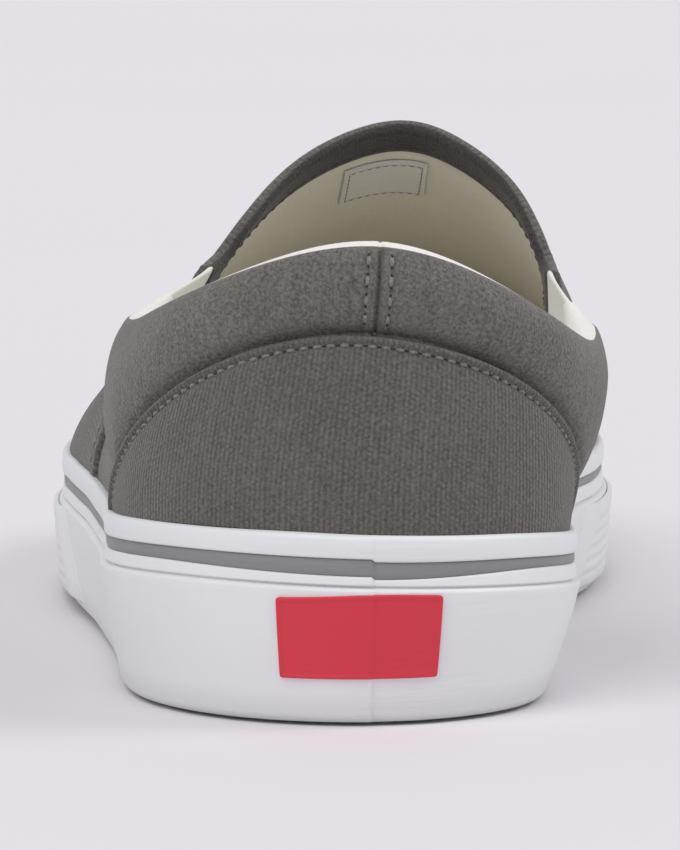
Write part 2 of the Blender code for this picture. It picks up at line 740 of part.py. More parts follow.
def build_insole(collection):
    """The footbed, thicker under the heel, lying on the outsole inside the upper."""
    places = ring_places()
    low = OUTSOLE_THICKNESS + CLEARANCE
    along = outline_curve(places)[:, 1] / LENGTH
    thickness = INSOLE_HEEL + (INSOLE_FORE - INSOLE_HEEL) * ease((along - 0.25) / 0.45)
    high = low + thickness
    clear = CANVAS_WALL + 2 * CLEARANCE + INSOLE_EASE * taper(places, 0.0)
    foot = np.maximum(sole_edge(places) + CLEARANCE, inner_wall(places, low + EDGE_ROUND) + clear)
    rings = np.stack(
        [
            ring_point(places, foot, low),
            ring_point(places, inner_wall(places, high) + clear, high - EDGE_ROUND),
            ring_point(places, inner_wall(places, high) + clear + EDGE_ROUND, high),
        ]
    )
    return slab("insole", rings, FOOTBED, collection)


def centre_on_floor(solids):
    """Moves the shoe so that its box is centred on the origin in plan. Its lowest point stays at z = 0."""
    bpy.context.view_layer.update()
    graph = bpy.context.evaluated_depsgraph_get()
    corners = []
    for solid in solids:
        mesh = solid.evaluated_get(graph).to_mesh()
        corners += [tuple(v.co) for v in mesh.vertices]
    corners = np.array(corners)
    middle = (corners.min(axis=0) + corners.max(axis=0)) / 2
    for thing in bpy.data.objects:
        thing.location = (-middle[0], -middle[1], 0.0)
    bpy.context.view_layer.update()


def main():
    remove_startup_objects()
    shoe = new_collection("slip_on_sneaker")
    helpers = new_collection("cutters")
    solids = [
        build_outsole(shoe, helpers),
        build_foxing(shoe),
        build_stripe(shoe),
        build_bumper(shoe),
        build_label(shoe),
        build_insole(shoe),
        build_upper(shoe, helpers),
        build_gore("lateral_gore", LATERAL_GORE, shoe),
        build_gore("medial_gore", MEDIAL_GORE, shoe),
        build_counter(shoe),
    ]
    centre_on_floor(solids)


main()
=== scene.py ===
import math
from functools import reduce

import bpy
import numpy as np
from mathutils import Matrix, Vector, noise


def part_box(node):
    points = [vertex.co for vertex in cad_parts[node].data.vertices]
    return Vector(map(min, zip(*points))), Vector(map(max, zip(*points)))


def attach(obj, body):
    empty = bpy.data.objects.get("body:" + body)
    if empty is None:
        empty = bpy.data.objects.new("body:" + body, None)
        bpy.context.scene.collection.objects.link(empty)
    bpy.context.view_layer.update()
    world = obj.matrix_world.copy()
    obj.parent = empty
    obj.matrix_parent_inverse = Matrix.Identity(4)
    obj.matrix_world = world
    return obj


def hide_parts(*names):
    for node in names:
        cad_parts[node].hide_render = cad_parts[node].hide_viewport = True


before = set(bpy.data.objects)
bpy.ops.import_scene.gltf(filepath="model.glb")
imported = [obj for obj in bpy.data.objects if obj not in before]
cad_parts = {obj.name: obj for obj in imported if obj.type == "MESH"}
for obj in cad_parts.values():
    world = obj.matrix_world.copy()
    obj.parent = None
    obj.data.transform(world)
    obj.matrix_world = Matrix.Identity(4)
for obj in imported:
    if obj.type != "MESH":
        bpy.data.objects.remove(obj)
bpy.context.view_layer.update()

# Sizes that the part's source also uses
LENGTH = 0.2860
HEEL_WIDTH = 0.0820
BALL_WIDTH = 0.1045
COLLAR_WIDTH = 0.0760
COLLAR_HEIGHT = 0.0810
THROAT_HEIGHT = 0.0930
TOE_SPRING = 0.0090
ARCH_LIFT = 0.0010
CLEARANCE = 0.0003
FOXING_HEIGHT = 0.0326
FOXING_WALL = 0.0030
FOXING_LIP = 0.0020
FOXING_TAPER = 0.0040
FOXING_FLOOR_GAP = 0.0006
FOXING_EDGE_RADIUS = 0.0016
TOP_BAND = 0.0040
STRIPE_HEIGHT = 0.0026
STRIPE_THICKNESS = 0.0006
STRIPE_RECESS = 0.0004
RIDGE_HEIGHT = 0.0017
BODY_STEP = 0.0006
BUMPER_THICKNESS = 0.0011
BUMPER_SLANT = 0.0220
LABEL_WIDTH = 0.0280
LABEL_HEIGHT = 0.0142
LABEL_BASE = 0.0082
LABEL_SHIFT = 0.0010
OUTSOLE_THICKNESS = 0.0055
INSOLE_HEEL = 0.0080
INSOLE_FORE = 0.0045
CANVAS_WALL = 0.0020
VAMP_STEP = 0.0009
PAD_DEPTH = 0.0270
PAD_BULGE_OUT = 0.0036
PAD_BULGE_IN = 0.0024
EDGE_ROUND = 0.0008
COUNTER_THICKNESS = 0.0009
COUNTER_HEIGHT = 0.0319
COUNTER_REACH = 0.0780
COUNTER_SHIFT = 0.0030
COUNTER_PEAK = 0.0025
COUNTER_CURVE = 1.8
GORE_DEPTH = 0.0300
GORE_POINT = 0.15
OUTWARD_PULL = 0.0150

OUTLINE = (
    (0.000, 0.030, HEEL_WIDTH),
    (0.023, -0.232, HEEL_WIDTH),
    (0.104, -0.451, HEEL_WIDTH),
    (0.226, -0.506, HEEL_WIDTH),
    (0.389, -0.555, HEEL_WIDTH),
    (0.538, -0.494, BALL_WIDTH),
    (0.677, -0.511, BALL_WIDTH),
    (0.826, -0.435, BALL_WIDTH),
    (0.958, -0.218, BALL_WIDTH),
    (1.000, 0.060, BALL_WIDTH),
    (0.941, 0.350, BALL_WIDTH),
    (0.799, 0.482, BALL_WIDTH),
    (0.660, 0.488, BALL_WIDTH),
    (0.507, 0.417, BALL_WIDTH),
    (0.340, 0.482, HEEL_WIDTH),
    (0.174, 0.500, HEEL_WIDTH),
    (0.073, 0.439, HEEL_WIDTH),
    (0.006, 0.171, HEEL_WIDTH),
)
TOE_ROW = 9
FOXING_SHAPE = (
    (0.00, 1.000, 1.00),
    (0.05, 1.010, 1.00),
    (0.11, 0.945, 0.95),
    (0.20, 0.870, 0.60),
    (0.32, 0.850, 0.30),
    (0.42, 0.840, 0.50),
    (0.50, 0.870, 0.80),
    (0.58, 0.840, 0.50),
    (0.68, 0.850, 0.45),
    (0.80, 0.830, 1.10),
    (0.89, 0.860, 1.60),
    (0.95, 0.955, 1.35),
)
MERIDIANS = (
    (0.000, 0.079, 0.028, 1.000, COLLAR_HEIGHT, 0.34, 0.010, 0.30, 0.34),
    (0.050, -0.255, 0.061, 0.918, COLLAR_HEIGHT, 0.34, 0.020, 0.30, 0.34),
    (0.100, -0.428, 0.153, 0.815, COLLAR_HEIGHT, 0.34, 0.030, 0.30, 0.33),
    (0.160, -0.445, 0.292, 0.795, COLLAR_HEIGHT, 0.34, 0.020, 0.30, 0.33),
    (0.212, -0.322, 0.408, 0.843, COLLAR_HEIGHT, 0.32, -0.010, 0.32, 0.33),
    (0.270, -0.258, 0.432, 0.786, THROAT_HEIGHT, 0.26, -0.040, 0.32, 0.40),
    (0.340, -0.164, 0.460, 0.880, THROAT_HEIGHT, 0.22, -0.060, 0.33, 0.50),
    (0.420, -0.030, 0.488, 0.960, THROAT_HEIGHT, 0.30, 0.000, 0.36, 0.64),
    (0.500, 0.145, 0.503, 1.000, THROAT_HEIGHT, 0.37, 0.030, 0.37, 0.68),
    (0.580, 0.300, 0.490, 0.962, THROAT_HEIGHT, 0.36, 0.030, 0.36, 0.62),
    (0.660, 0.430, 0.460, 0.870, THROAT_HEIGHT, 0.34, 0.030, 0.34, 0.48),
    (0.730, 0.490, 0.432, 0.770, THROAT_HEIGHT, 0.36, 0.030, 0.34, 0.38),
    (0.788, 0.518, 0.408, 0.830, COLLAR_HEIGHT, 0.36, 0.040, 0.32, 0.33),
    (0.840, 0.563, 0.292, 0.772, COLLAR_HEIGHT, 0.34, 0.040, 0.30, 0.33),
    (0.900, 0.539, 0.153, 0.769, COLLAR_HEIGHT, 0.34, 0.040, 0.30, 0.33),
    (0.950, 0.382, 0.061, 0.888, COLLAR_HEIGHT, 0.34, 0.020, 0.30, 0.34),
)
LATERAL_GORE = (0.174, 0.212)
MEDIAL_GORE = (0.826, 0.788)
PAD_FADE = (0.150, 0.180)
LATERAL_BUMPER_END = 0.262
MEDIAL_BUMPER_END = 0.722

# Sewing and finish
HEM_WIDTH = 0.0078
HEM_RELIEF = 0.0003
FOLD_RADIUS = 0.0006
STITCH_LENGTH = 0.0020
STITCH_PITCH = 0.0027
STITCH_DENT = 0.0005
THREAD_RADIUS = 0.00038
TAG_PLACE = 0.489
TAG_THICKNESS = 0.0005
TAG_SINK = 0.0002
PATCH_LIFT = 0.0005
PATCH_RIM = 0.00016
BEAD_DEPTH = 0.0013
LOW_ROW_PITCH = 0.004

# Distances of the stitch rows from the edge or seam that they follow
HEM_STITCHES = (0.0016, 0.0064)
QUARTER_STITCHES = 0.0018
COUNTER_STITCHES = 0.0017
SEAM_STITCHES = 0.0021

# The collar's back seam: height, distance from the seam and width of its groove, ridges and tufts
BACK_SEAM_ARC = -0.0009
SEAM_RELIEF = ((-0.0014, 0.0, 0.00045), (0.0003, 0.0015, 0.0009), (-0.0004, 0.0023, 0.0006))

# The foxing's seam, where its wound end overlaps
FOXING_SEAM_ARC = -0.0034
FOXING_SEAM_STEP = 0.0004
SEAM_RAMP = 0.0006


def periodic_cubic(knots, values):
    """A smooth closed curve through values at knots from 0 up to 1."""
    knots = np.asarray(knots, float)
    values = np.asarray(values, float).reshape(len(knots), -1)
    count = len(knots)
    gaps = np.diff(np.append(knots, knots[0] + 1.0))
    rises = np.roll(values, -1, axis=0) - values
    system = np.zeros((count, count))
    target = np.zeros_like(values)
    for i in range(count):
        before, after = gaps[i - 1], gaps[i]
        system[i, i - 1] += after
        system[i, i] += 2 * (before + after)
        system[i, (i + 1) % count] += before
        target[i] = 3 * (after / before * rises[i - 1] + before / after * rises[i])
    slopes = np.linalg.solve(system, target)

    def at(place):
        place = np.mod(np.asarray(place, float) - knots[0], 1.0)
        starts = knots - knots[0]
        i = np.searchsorted(starts, place, side="right") - 1
        gap = gaps[i][..., None]
        s = (place - starts[i])[..., None] / gap
        j = (i + 1) % count
        return (
            values[i] * (1 + 2 * s) * (1 - s) ** 2
            + slopes[i] * gap * s * (1 - s) ** 2
            + values[j] * s**2 * (3 - 2 * s)
            + slopes[j] * gap * s**2 * (s - 1)
        )

    return at


def outline_knots(points):
    steps = np.linalg.norm(np.roll(points, -1, axis=0) - points, axis=1)
    lateral, medial = steps[:TOE_ROW], steps[TOE_ROW:]
    first = np.concatenate([[0.0], np.cumsum(lateral)]) / lateral.sum() / 2
    second = 0.5 + np.cumsum(medial)[:-1] / medial.sum() / 2
    return np.concatenate([first, second])


def ease(value):
    """0 up to 1 with soft ends."""
    value = np.clip(value, 0.0, 1.0)
    return value * value * (3 - 2 * value)


def rounded(distance, radius):
    """Height of a round edge: 0 at the edge, 1 from one radius inward."""
    return np.sqrt(1 - (1 - np.clip(distance / radius, 0.0, 1.0)) ** 2)


def ridge(distance, centre, width):
    """Height of a soft ridge, 1 at its centre."""
    return np.exp(-(((distance - centre) / width) ** 2))


def unit(vectors):
    return vectors / np.linalg.norm(vectors, axis=-1, keepdims=True)


def run_along(points, axis):
    """Distance from the first point along one axis of a grid of points."""
    steps = np.linalg.norm(np.diff(points, axis=axis), axis=-1)
    return np.concatenate([np.zeros_like(steps[:1]), np.cumsum(steps, axis=axis)], axis=axis)


OUTLINE_POINTS = np.array([(across * width, along * LENGTH) for along, across, width in OUTLINE])
outline_plain = periodic_cubic(outline_knots(OUTLINE_POINTS), OUTLINE_POINTS)
CENTRE = np.zeros(2)


def outline_curve(place):
    """The sole's outline at the top of the foxing, in the row frame."""
    return outline_plain(place) + CENTRE


foxing_curve = periodic_cubic([row[0] for row in FOXING_SHAPE], [row[1:] for row in FOXING_SHAPE])
meridian_plain = periodic_cubic(
    [row[0] for row in MERIDIANS],
    [
        (across * COLLAR_WIDTH, along * LENGTH, share * height, rise, flare, run, drop)
        for _, across, along, share, height, rise, flare, run, drop in MERIDIANS
    ],
)


def meridian_curve(place):
    row = meridian_plain(place)
    row[..., :2] += CENTRE
    return row


def outward(place):
    """Unit vector in plan, square to the outline."""
    step = 1e-4
    along = outline_plain(np.add(place, step)) - outline_plain(np.subtract(place, step))
    return unit(np.stack([-along[..., 1], along[..., 0]], axis=-1))


def ground(y):
    """Height of the sole's underside over the floor: the arch's lift and the toe spring."""
    share = (np.asarray(y) - CENTRE[1]) / LENGTH
    arch = ARCH_LIFT * ease((share - 0.34) / 0.10) * ease((0.62 - share) / 0.10)
    spring = TOE_SPRING * np.clip((share - 0.76) / 0.24, 0.0, None) ** 2
    return arch + spring


def ring_point(place, inset, height):
    """A point at an inset from the outline and a height over the sole's underside."""
    plan = outline_curve(place) - outward(place) * np.asarray(inset)[..., None]
    z = ground(plan[..., 1]) + height
    return np.concatenate([plan, z[..., None]], axis=-1)


def foxing_top(place):
    return foxing_curve(place)[..., 0] * FOXING_HEIGHT


def body_top(place):
    """Height of the sidewall's body, under its ridge and bands."""
    return foxing_top(place) - TOP_BAND - STRIPE_HEIGHT - 2 * CLEARANCE - RIDGE_HEIGHT


def taper(place, height):
    """How far the foxing leans inward at a height, next to its top."""
    top = body_top(place)
    full = foxing_curve(place)[..., 1] * FOXING_TAPER
    return full * np.clip((top - height) / top, 0.0, 1.0) ** 1.3


def sole_edge(place):
    """Inset of the outsole's edge inside the foxing."""
    return taper(place, 0.0) - BODY_STEP + FOXING_EDGE_RADIUS + FOXING_LIP


def inner_wall(place, height):
    """Inset of the foxing's inner side at a height."""
    low = taper(place, height) - BODY_STEP + FOXING_WALL
    lip = ease((height - body_top(place)) / TOP_BAND)
    return low * (1 - lip) + FOXING_LIP * lip


SIGNED_PLACES = np.linspace(-0.5, 0.5, 801)
HEEL_ARCS = run_along(outline_plain(np.mod(SIGNED_PLACES, 1.0)), 0)
HEEL_ARCS -= np.interp(0.0, SIGNED_PLACES, HEEL_ARCS)
ROUND_LENGTH = HEEL_ARCS[-1] - HEEL_ARCS[0]


def signed(place):
    """Place counted from the back of the heel: above 0 on the lateral side, below 0 on the medial."""
    return np.mod(np.add(place, 0.5), 1.0) - 0.5


def heel_arc(place):
    """Distance round the outline from the back of the heel, below 0 on the medial side."""
    return np.interp(signed(place), SIGNED_PLACES, HEEL_ARCS)


def place_at_arc(arc):
    return np.mod(np.interp(arc, HEEL_ARCS, SIGNED_PLACES), 1.0)


def counter_arch(place):
    """Height of the counter's arched edge over its foot."""
    arc = heel_arc(place) - COUNTER_PEAK
    lateral = COUNTER_REACH - COUNTER_SHIFT - COUNTER_PEAK
    medial = COUNTER_REACH + COUNTER_SHIFT + COUNTER_PEAK
    share = arc / np.where(arc > 0, lateral, medial)
    return COUNTER_HEIGHT * (1 - np.clip(abs(share), 0.0, 1.0) ** COUNTER_CURVE)


def centre_of_frame():
    """Where the outline's origin lies in the row frame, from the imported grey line's box."""
    places = np.linspace(0, 1, 4000, endpoint=False)
    ring = ring_point(places, np.full(places.shape, STRIPE_RECESS), foxing_top(places))
    low, high = ring.min(axis=0), ring.max(axis=0)
    middle = sum(np.array(corner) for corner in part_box("foxing_stripe")) / 2
    return middle[:2] - (low[:2] + high[:2]) / 2


CENTRE = centre_of_frame()


def foot_of(place):
    """Where the upper goes down into the foxing."""
    height = foxing_top(place)
    return ring_point(place, np.full_like(height, FOXING_LIP + CLEARANCE), height)


def skin(place, share):
    """A point of the upper's outer form: share runs from the foxing to the top edge."""
    place, share = np.broadcast_arrays(np.asarray(place, float), np.asarray(share, float))
    foot = foot_of(place)
    row = meridian_curve(place)
    head = row[..., :3]
    rise, flare, run, drop = (row[..., k, None] for k in range(3, 7))
    tall = head[..., 2:] - foot[..., 2:]
    normal = outward(place)
    away = foot[..., :2] - head[..., :2]
    length = np.linalg.norm(away, axis=-1, keepdims=True)
    lean = unit(away + normal * OUTWARD_PULL)
    low = np.concatenate([foot[..., :2] + normal * flare * tall, foot[..., 2:] + rise * tall], axis=-1)
    high = np.concatenate([head[..., :2] + lean * run * length, head[..., 2:] - drop * tall], axis=-1)
    s = share[..., None]
    return foot * (1 - s) ** 3 + 3 * low * s * (1 - s) ** 2 + 3 * high * s**2 * (1 - s) + head * s**3


def skin_normal(place, share):
    step = 1e-3
    above, below = np.minimum(np.add(share, step), 1.0), np.maximum(np.subtract(share, step), 0.0)
    up = skin(place, above) - skin(place, below)
    across = skin(np.add(place, step), share) - skin(np.subtract(place, step), share)
    return unit(np.cross(up, across))


class Meridians:
    """Looks up the share of a meridian at a depth below the top edge, for whole arrays at once."""

    def __init__(self, places=901, shares=161):
        self.places = places
        grid = np.linspace(0.0, 1.0, places)
        share = np.linspace(0.0, 1.0, shares)
        points = skin(grid[:, None], share[None, :])
        steps = np.linalg.norm(np.diff(points, axis=1), axis=2)
        below = np.concatenate([np.cumsum(steps[:, ::-1], axis=1)[:, ::-1], np.zeros((places, 1))], axis=1)
        self.lengths = below[:, 0]
        self.fractions = np.linspace(0.0, 1.0, 201)
        self.shares = np.array([np.interp(self.fractions, row[::-1] / row[0], share[::-1]) for row in below])

    def _near(self, place):
        spot = np.mod(place, 1.0) * (self.places - 1)
        i = np.minimum(spot.astype(int), self.places - 2)
        return i, spot - i

    def length(self, place):
        i, w = self._near(np.asarray(place, float))
        return self.lengths[i] * (1 - w) + self.lengths[i + 1] * w

    def share(self, place, depth):
        place, depth = np.broadcast_arrays(np.asarray(place, float), np.asarray(depth, float))
        i, w = self._near(place)
        part = np.clip(depth / self.length(place), 0.0, 1.0) * (len(self.fractions) - 1)
        k = np.minimum(part.astype(int), len(self.fractions) - 2)
        t = part - k
        near = self.shares[i, k] * (1 - t) + self.shares[i, k + 1] * t
        far = self.shares[i + 1, k] * (1 - t) + self.shares[i + 1, k + 1] * t
        return near * (1 - w) + far * w


meridians = Meridians()


def pad_depth(place):
    """How far down the collar's padding reaches: to the counter's edge, or its full depth."""
    top = meridian_curve(place)[..., 2]
    edge = foot_of(place)[..., 2] + EDGE_ROUND + counter_arch(place) + 2 * CLEARANCE
    return np.minimum(top - edge, PAD_DEPTH)


def padding(place, depth):
    """Share of the padded collar's bulge at a depth below the top edge."""
    share = np.clip(np.asarray(depth) / pad_depth(place), 0.0, 1.0)
    section = np.sin(np.pi * share**0.76) ** 0.72
    from_heel = np.abs(signed(place))
    return section * (1 - ease((from_heel - PAD_FADE[0]) / (PAD_FADE[1] - PAD_FADE[0])))


def wrinkle(points, size, seed):
    """Smooth noise from -1 to 1 at each point."""
    flat = points.reshape(-1, 3) / size
    values = [noise.noise(Vector((p[0] + seed, p[1], p[2]))) for p in flat]
    return np.array(values).reshape(points.shape[:-1])


# Mesh building


def make_object(name, points, faces, looks, face_looks=None, corner_uv=None, sharp=55):
    """A mesh object with its materials, flat coordinates in metres and smooth shading up to an angle."""
    mesh = bpy.data.meshes.new(name)
    mesh.from_pydata(points.reshape(-1, 3).tolist(), [], faces)
    for look in looks:
        mesh.materials.append(look)
    if face_looks is not None:
        mesh.polygons.foreach_set("material_index", np.asarray(face_looks, np.int32))
    if corner_uv is not None:
        layer = mesh.uv_layers.new(name="cloth")
        layer.data.foreach_set("uv", np.asarray(corner_uv, np.float32).ravel())
    mesh.validate()
    mesh.shade_smooth()
    mesh.set_sharp_from_angle(angle=math.radians(sharp))
    made = bpy.data.objects.new(name, mesh)
    bpy.context.scene.collection.objects.link(made)
    return made


def loft(name, grid, uv, looks, row_looks=None, ring=False, flip=False, sharp=55):
    """A closed solid: grid is columns by rows by 3, each column a closed section."""
    columns, rows = grid.shape[:2]
    i = np.arange(columns if ring else columns - 1)
    k = np.arange(rows)
    a, b = np.meshgrid(i, k, indexing="ij")
    c, d = (a + 1) % columns, (b + 1) % rows
    corners = np.stack([a * rows + b, a * rows + d, c * rows + d, c * rows + b], axis=-1)
    wide = uv
    if ring:
        last = uv[-1:].copy()
        last[0, :, 0] += np.linalg.norm(grid[0] - grid[-1], axis=-1)
        wide = np.concatenate([uv, last])
    faces = corners.reshape(-1, 4)
    uvs = np.stack([wide[a, b], wide[a, d], wide[a + 1, d], wide[a + 1, b]], axis=-2).reshape(-1, 4, 2)
    kinds = np.broadcast_to(np.zeros(rows) if row_looks is None else row_looks, a.shape).reshape(-1).astype(int)
    if not ring:
        caps, cap_uv = [], []
        for start in (0, columns - 1):
            for m in range(rows // 2 - 1):
                quad = [m, m + 1, rows - 2 - m, rows - 1 - m]
                caps.append([start * rows + q for q in quad])
                cap_uv.append([uv[start, q] for q in quad])
        count = len(caps) // 2
        caps = [c[::-1] for c in caps[:count]] + caps[count:]
        cap_uv = [u[::-1] for u in cap_uv[:count]] + cap_uv[count:]
        faces = np.concatenate([faces, np.array(caps)])
        uvs = np.concatenate([uvs, np.array(cap_uv)])
        kinds = np.concatenate([kinds, np.zeros(len(caps), int)])
    if flip:
        faces, uvs = faces[:, ::-1], uvs[:, ::-1]
    return make_object(name, grid, faces.tolist(), looks, kinds, uvs.reshape(-1, 2), sharp)


def sheet_solid(name, under, over, flat, look, sharp=45):
    """A closed thin sheet from two grids of points, with flat coordinates in metres."""
    h, w = over.shape[:2]
    grid = np.arange(h * w).reshape(h, w)
    quads = np.stack([grid[:-1, :-1], grid[:-1, 1:], grid[1:, 1:], grid[1:, :-1]], axis=-1).reshape(-1, 4)
    loop = np.concatenate([grid[0, :-1], grid[:-1, -1], grid[-1, :0:-1], grid[:0:-1, 0]])
    after = np.roll(loop, -1)
    side = np.stack([after, loop, loop + h * w, after + h * w], axis=-1)
    faces = np.concatenate([quads, quads[:, ::-1] + h * w, side])
    normal = np.cross(over[0, 1] - over[0, 0], over[1, 0] - over[0, 0])
    if np.dot(normal, over[h // 2, w // 2] - under[h // 2, w // 2]) > 0:
        faces = faces[:, ::-1]
    points = np.concatenate([under.reshape(-1, 3), over.reshape(-1, 3)])
    flats = np.concatenate([flat.reshape(-1, 2)] * 2)
    return make_object(name, points, faces.tolist(), [look], None, flats[faces.ravel()], sharp)


def sew(name, path, normals, look, slot="canvas", length=STITCH_LENGTH, pitch=STITCH_PITCH, radius=THREAD_RADIUS):
    """A row of short threads along a path. Each dips into the cloth at both ends; a small dark cap there is painted
    shade in the needle's hole.
    """
    path, normals = np.array(path), np.array(normals)
    along = run_along(path, 0)
    sides, rings = 6, 7
    turns = 2 * np.pi * np.arange(sides)[:, None] / sides
    bend = np.sin(np.linspace(0, np.pi, rings))
    lift = radius * (1.1 * bend - 0.55)
    thick = radius * (0.45 + 0.55 * bend**0.5)
    count = int(along[-1] / pitch)
    points, faces, kinds = [], [], []
    for n in range(count):
        spots = (n + 0.5) * along[-1] / count + length * np.linspace(-0.5, 0.5, rings)
        middle = np.stack([np.interp(spots, along, path[:, c]) for c in range(3)], axis=-1)
        up = unit(np.stack([np.interp(spots, along, normals[:, c]) for c in range(3)], axis=-1))
        ahead = unit(middle[-1] - middle[0])
        side = unit(np.cross(up, ahead))
        base = len(points)
        for r in range(rings):
            around = side[r] * np.cos(turns) + up[r] * np.sin(turns) * 0.8
            points.extend(middle[r] + up[r] * lift[r] + around * thick[r])
        for r in range(rings - 1):
            for s in range(sides):
                one, two = base + r * sides + s, base + r * sides + (s + 1) % sides
                faces.append((one, two, two + sides, one + sides))
        faces.append(tuple(range(base, base + sides))[::-1])
        faces.append(tuple(range(len(points) - sides, len(points))))
        kinds += [0] * ((rings - 1) * sides + 2)
        # Each end gets a small dark cap: painted shade where the needle went through.
        for end, toward in ((0, -1), (rings - 1, 1)):
            centre = middle[end] + ahead * toward * radius * 0.25
            base = len(points)
            rim = side[end] * np.cos(turns) * 0.75 + ahead * np.sin(turns) * 0.9 + up[end] * 0.08
            points += [centre + up[end] * radius * 0.22, centre - up[end] * radius]
            points.extend(centre + rim * radius)
            for s in range(sides):
                one, two = base + 2 + s, base + 2 + (s + 1) % sides
                faces += [(base, one, two), (base + 1, two, one)]
            kinds += [1] * (2 * sides)
    add_piece(make_object(name, np.array(points), faces, [look, hole], kinds, sharp=80), slot)


def add_piece(piece, slot, *nodes):
    """Joins a piece to the frame and hides the nodes that it replaces. The slot is not used."""
    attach(piece, "root")
    if nodes:
        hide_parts(*nodes)


# Materials


class Look:
    """A Principled material with short names for the nodes that feed it."""

    def __init__(self, name, colour, roughness, **constants):
        self.material = bpy.data.materials.new(name)
        self.material.use_nodes = True
        self.tree = self.material.node_tree
        self.shader = self.tree.nodes["Principled BSDF"]
        self.shader.inputs["Base Color"].default_value = (*colour, 1.0)
        self.shader.inputs["Roughness"].default_value = roughness
        for key, value in constants.items():
            self.shader.inputs[key.replace("_", " ")].default_value = value

    def node(self, kind, **inputs):
        made = self.tree.nodes.new(kind)
        for key, value in inputs.items():
            self.feed(made.inputs[key.replace("_", " ")], value)
        return made

    def feed(self, socket, value):
        if isinstance(value, bpy.types.NodeSocket):
            self.tree.links.new(value, socket)
        else:
            socket.default_value = value

    def math(self, operation, *values):
        made = self.tree.nodes.new("ShaderNodeMath")
        made.operation = operation
        for socket, value in zip(made.inputs, values):
            self.feed(socket, value)
        return made.outputs[0]

    def times(self, first, second):
        return self.math("MULTIPLY", first, second)

    def plus(self, *values):
        return reduce(lambda first, second: self.math("ADD", first, second), values)

    def wave(self, angle):
        """A cosine between 0 and 1."""
        return self.plus(self.times(self.math("COSINE", angle), 0.5), 0.5)

    def uv(self):
        coordinate = self.tree.nodes.new("ShaderNodeUVMap")
        coordinate.uv_map = "cloth"
        split = self.node("ShaderNodeSeparateXYZ", Vector=coordinate.outputs["UV"])
        return split.outputs["X"], split.outputs["Y"]

    def noise(self, vector, scale, detail=3.0, roughness=0.55):
        made = self.node("ShaderNodeTexNoise", Vector=vector, Scale=scale, Detail=detail, Roughness=roughness)
        return made.outputs["Fac"]

    def speckle(self, *settings):
        """Noise in space, the same on every piece."""
        return self.noise(self.tree.nodes.new("ShaderNodeTexCoord").outputs["Object"], *settings)

    def grain(self, u, v, along, across, *settings):
        """Noise stretched along the cloth or strip."""
        spot = self.node("ShaderNodeCombineXYZ", X=self.times(u, along), Y=self.times(v, across))
        return self.noise(spot.outputs["Vector"], 1.0, *settings)

    def spread(self, value, low, high, to_low=0.0, to_high=1.0):
        limits = {"From_Min": low, "From_Max": high, "To_Min": to_low, "To_Max": to_high}
        return self.node("ShaderNodeMapRange", Value=value, **limits).outputs["Result"]

    def blend(self, factor, first, second):
        made = self.tree.nodes.new("ShaderNodeMix")
        made.data_type = "RGBA"
        for key, value in (("Factor", factor), ("A", first), ("B", second)):
            self.feed(made.inputs[key], value)
        return made.outputs["Result"]

    def bump(self, height, distance, strength=1.0, over=None):
        made = self.node("ShaderNodeBump", Height=height, Strength=strength, Distance=distance)
        if over is not None:
            self.feed(made.inputs["Normal"], over)
        return made.outputs["Normal"]

    def paint(self, colour=None, roughness=None, normal=None):
        for key, value in (("Base Color", colour), ("Roughness", roughness), ("Normal", normal)):
            if value is not None:
                self.feed(self.shader.inputs[key], value)
        return self.material


def tone(colour, factor):
    """A lighter or darker colour with full alpha."""
    return tuple(min(1.0, c * factor) for c in colour) + (1.0,)


def weave(look, pitch, cross, share):
    """Height of a ribbed plain weave: ribs run along v, and share of them is broken up by the cross threads."""
    u, v = look.uv()
    drift = look.grain(u, v, 300.0, 60.0)
    u = look.plus(u, look.times(look.math("SUBTRACT", drift, 0.5), pitch * 0.35))
    turn = look.math("DIVIDE", u, pitch)
    rib = look.wave(look.times(turn, 2 * math.pi))
    odd = look.times(look.math("ROUND", turn), math.pi)
    rung = look.wave(look.plus(look.times(v, 2 * math.pi / cross), odd))
    return look.times(rib, look.plus(look.times(rung, share), 1.0 - share)), u, v


def canvas_look(name, colour, pitch=0.00098, cross=0.0009, share=0.5, depth=0.00012, ribs=0.26, contrast=0.36):
    """Ribbed cotton canvas with lighter and darker threads and a little fluff from wear."""
    look = Look(name, colour, 0.9, Sheen_Weight=0.22, Sheen_Roughness=0.45, Specular_IOR_Level=0.25)
    height, u, v = weave(look, pitch, cross, share)
    threads = look.grain(u, v, 1050.0, 90.0, 2.0)
    specks = look.spread(look.speckle(1700.0, 2.0, 0.6), 0.3, 0.7)
    cloud = look.speckle(50.0, 4.0)
    parts = ((height, ribs), (threads, 0.30), (specks, 0.45), (cloud, 0.22))
    middle = 0.485 + ribs * 0.4
    factor = look.spread(look.plus(*(look.times(*part) for part in parts)), middle - 0.30, middle + 0.30)
    base = look.blend(factor, tone(colour, 1 - contrast), tone(colour, 1 + contrast * 1.25))
    normal = look.bump(specks, 0.00016, 0.9, look.bump(height, depth))
    return look.paint(base, look.spread(height, 0.0, 1.0, 0.95, 0.82), normal)


def lining_look(name, colour):
    """Off-white cotton twill."""
    look = Look(name, colour, 0.9, Sheen_Weight=0.15, Specular_IOR_Level=0.2)
    rib = look.grain(*look.uv(), 1400.0, 500.0, 2.0)
    fine, cloud = look.speckle(1800.0, 2.0), look.speckle(60.0, 3.0)
    shade = look.plus(look.times(rib, 0.25), look.times(fine, 0.4), look.times(cloud, 0.35))
    base = look.blend(look.spread(shade, 0.25, 0.8), tone(colour, 0.86), tone(colour, 1.06))
    normal = look.bump(cloud, 0.0008, 0.5, look.bump(look.plus(rib, fine), 0.00005, 0.7))
    return look.paint(base, None, normal)


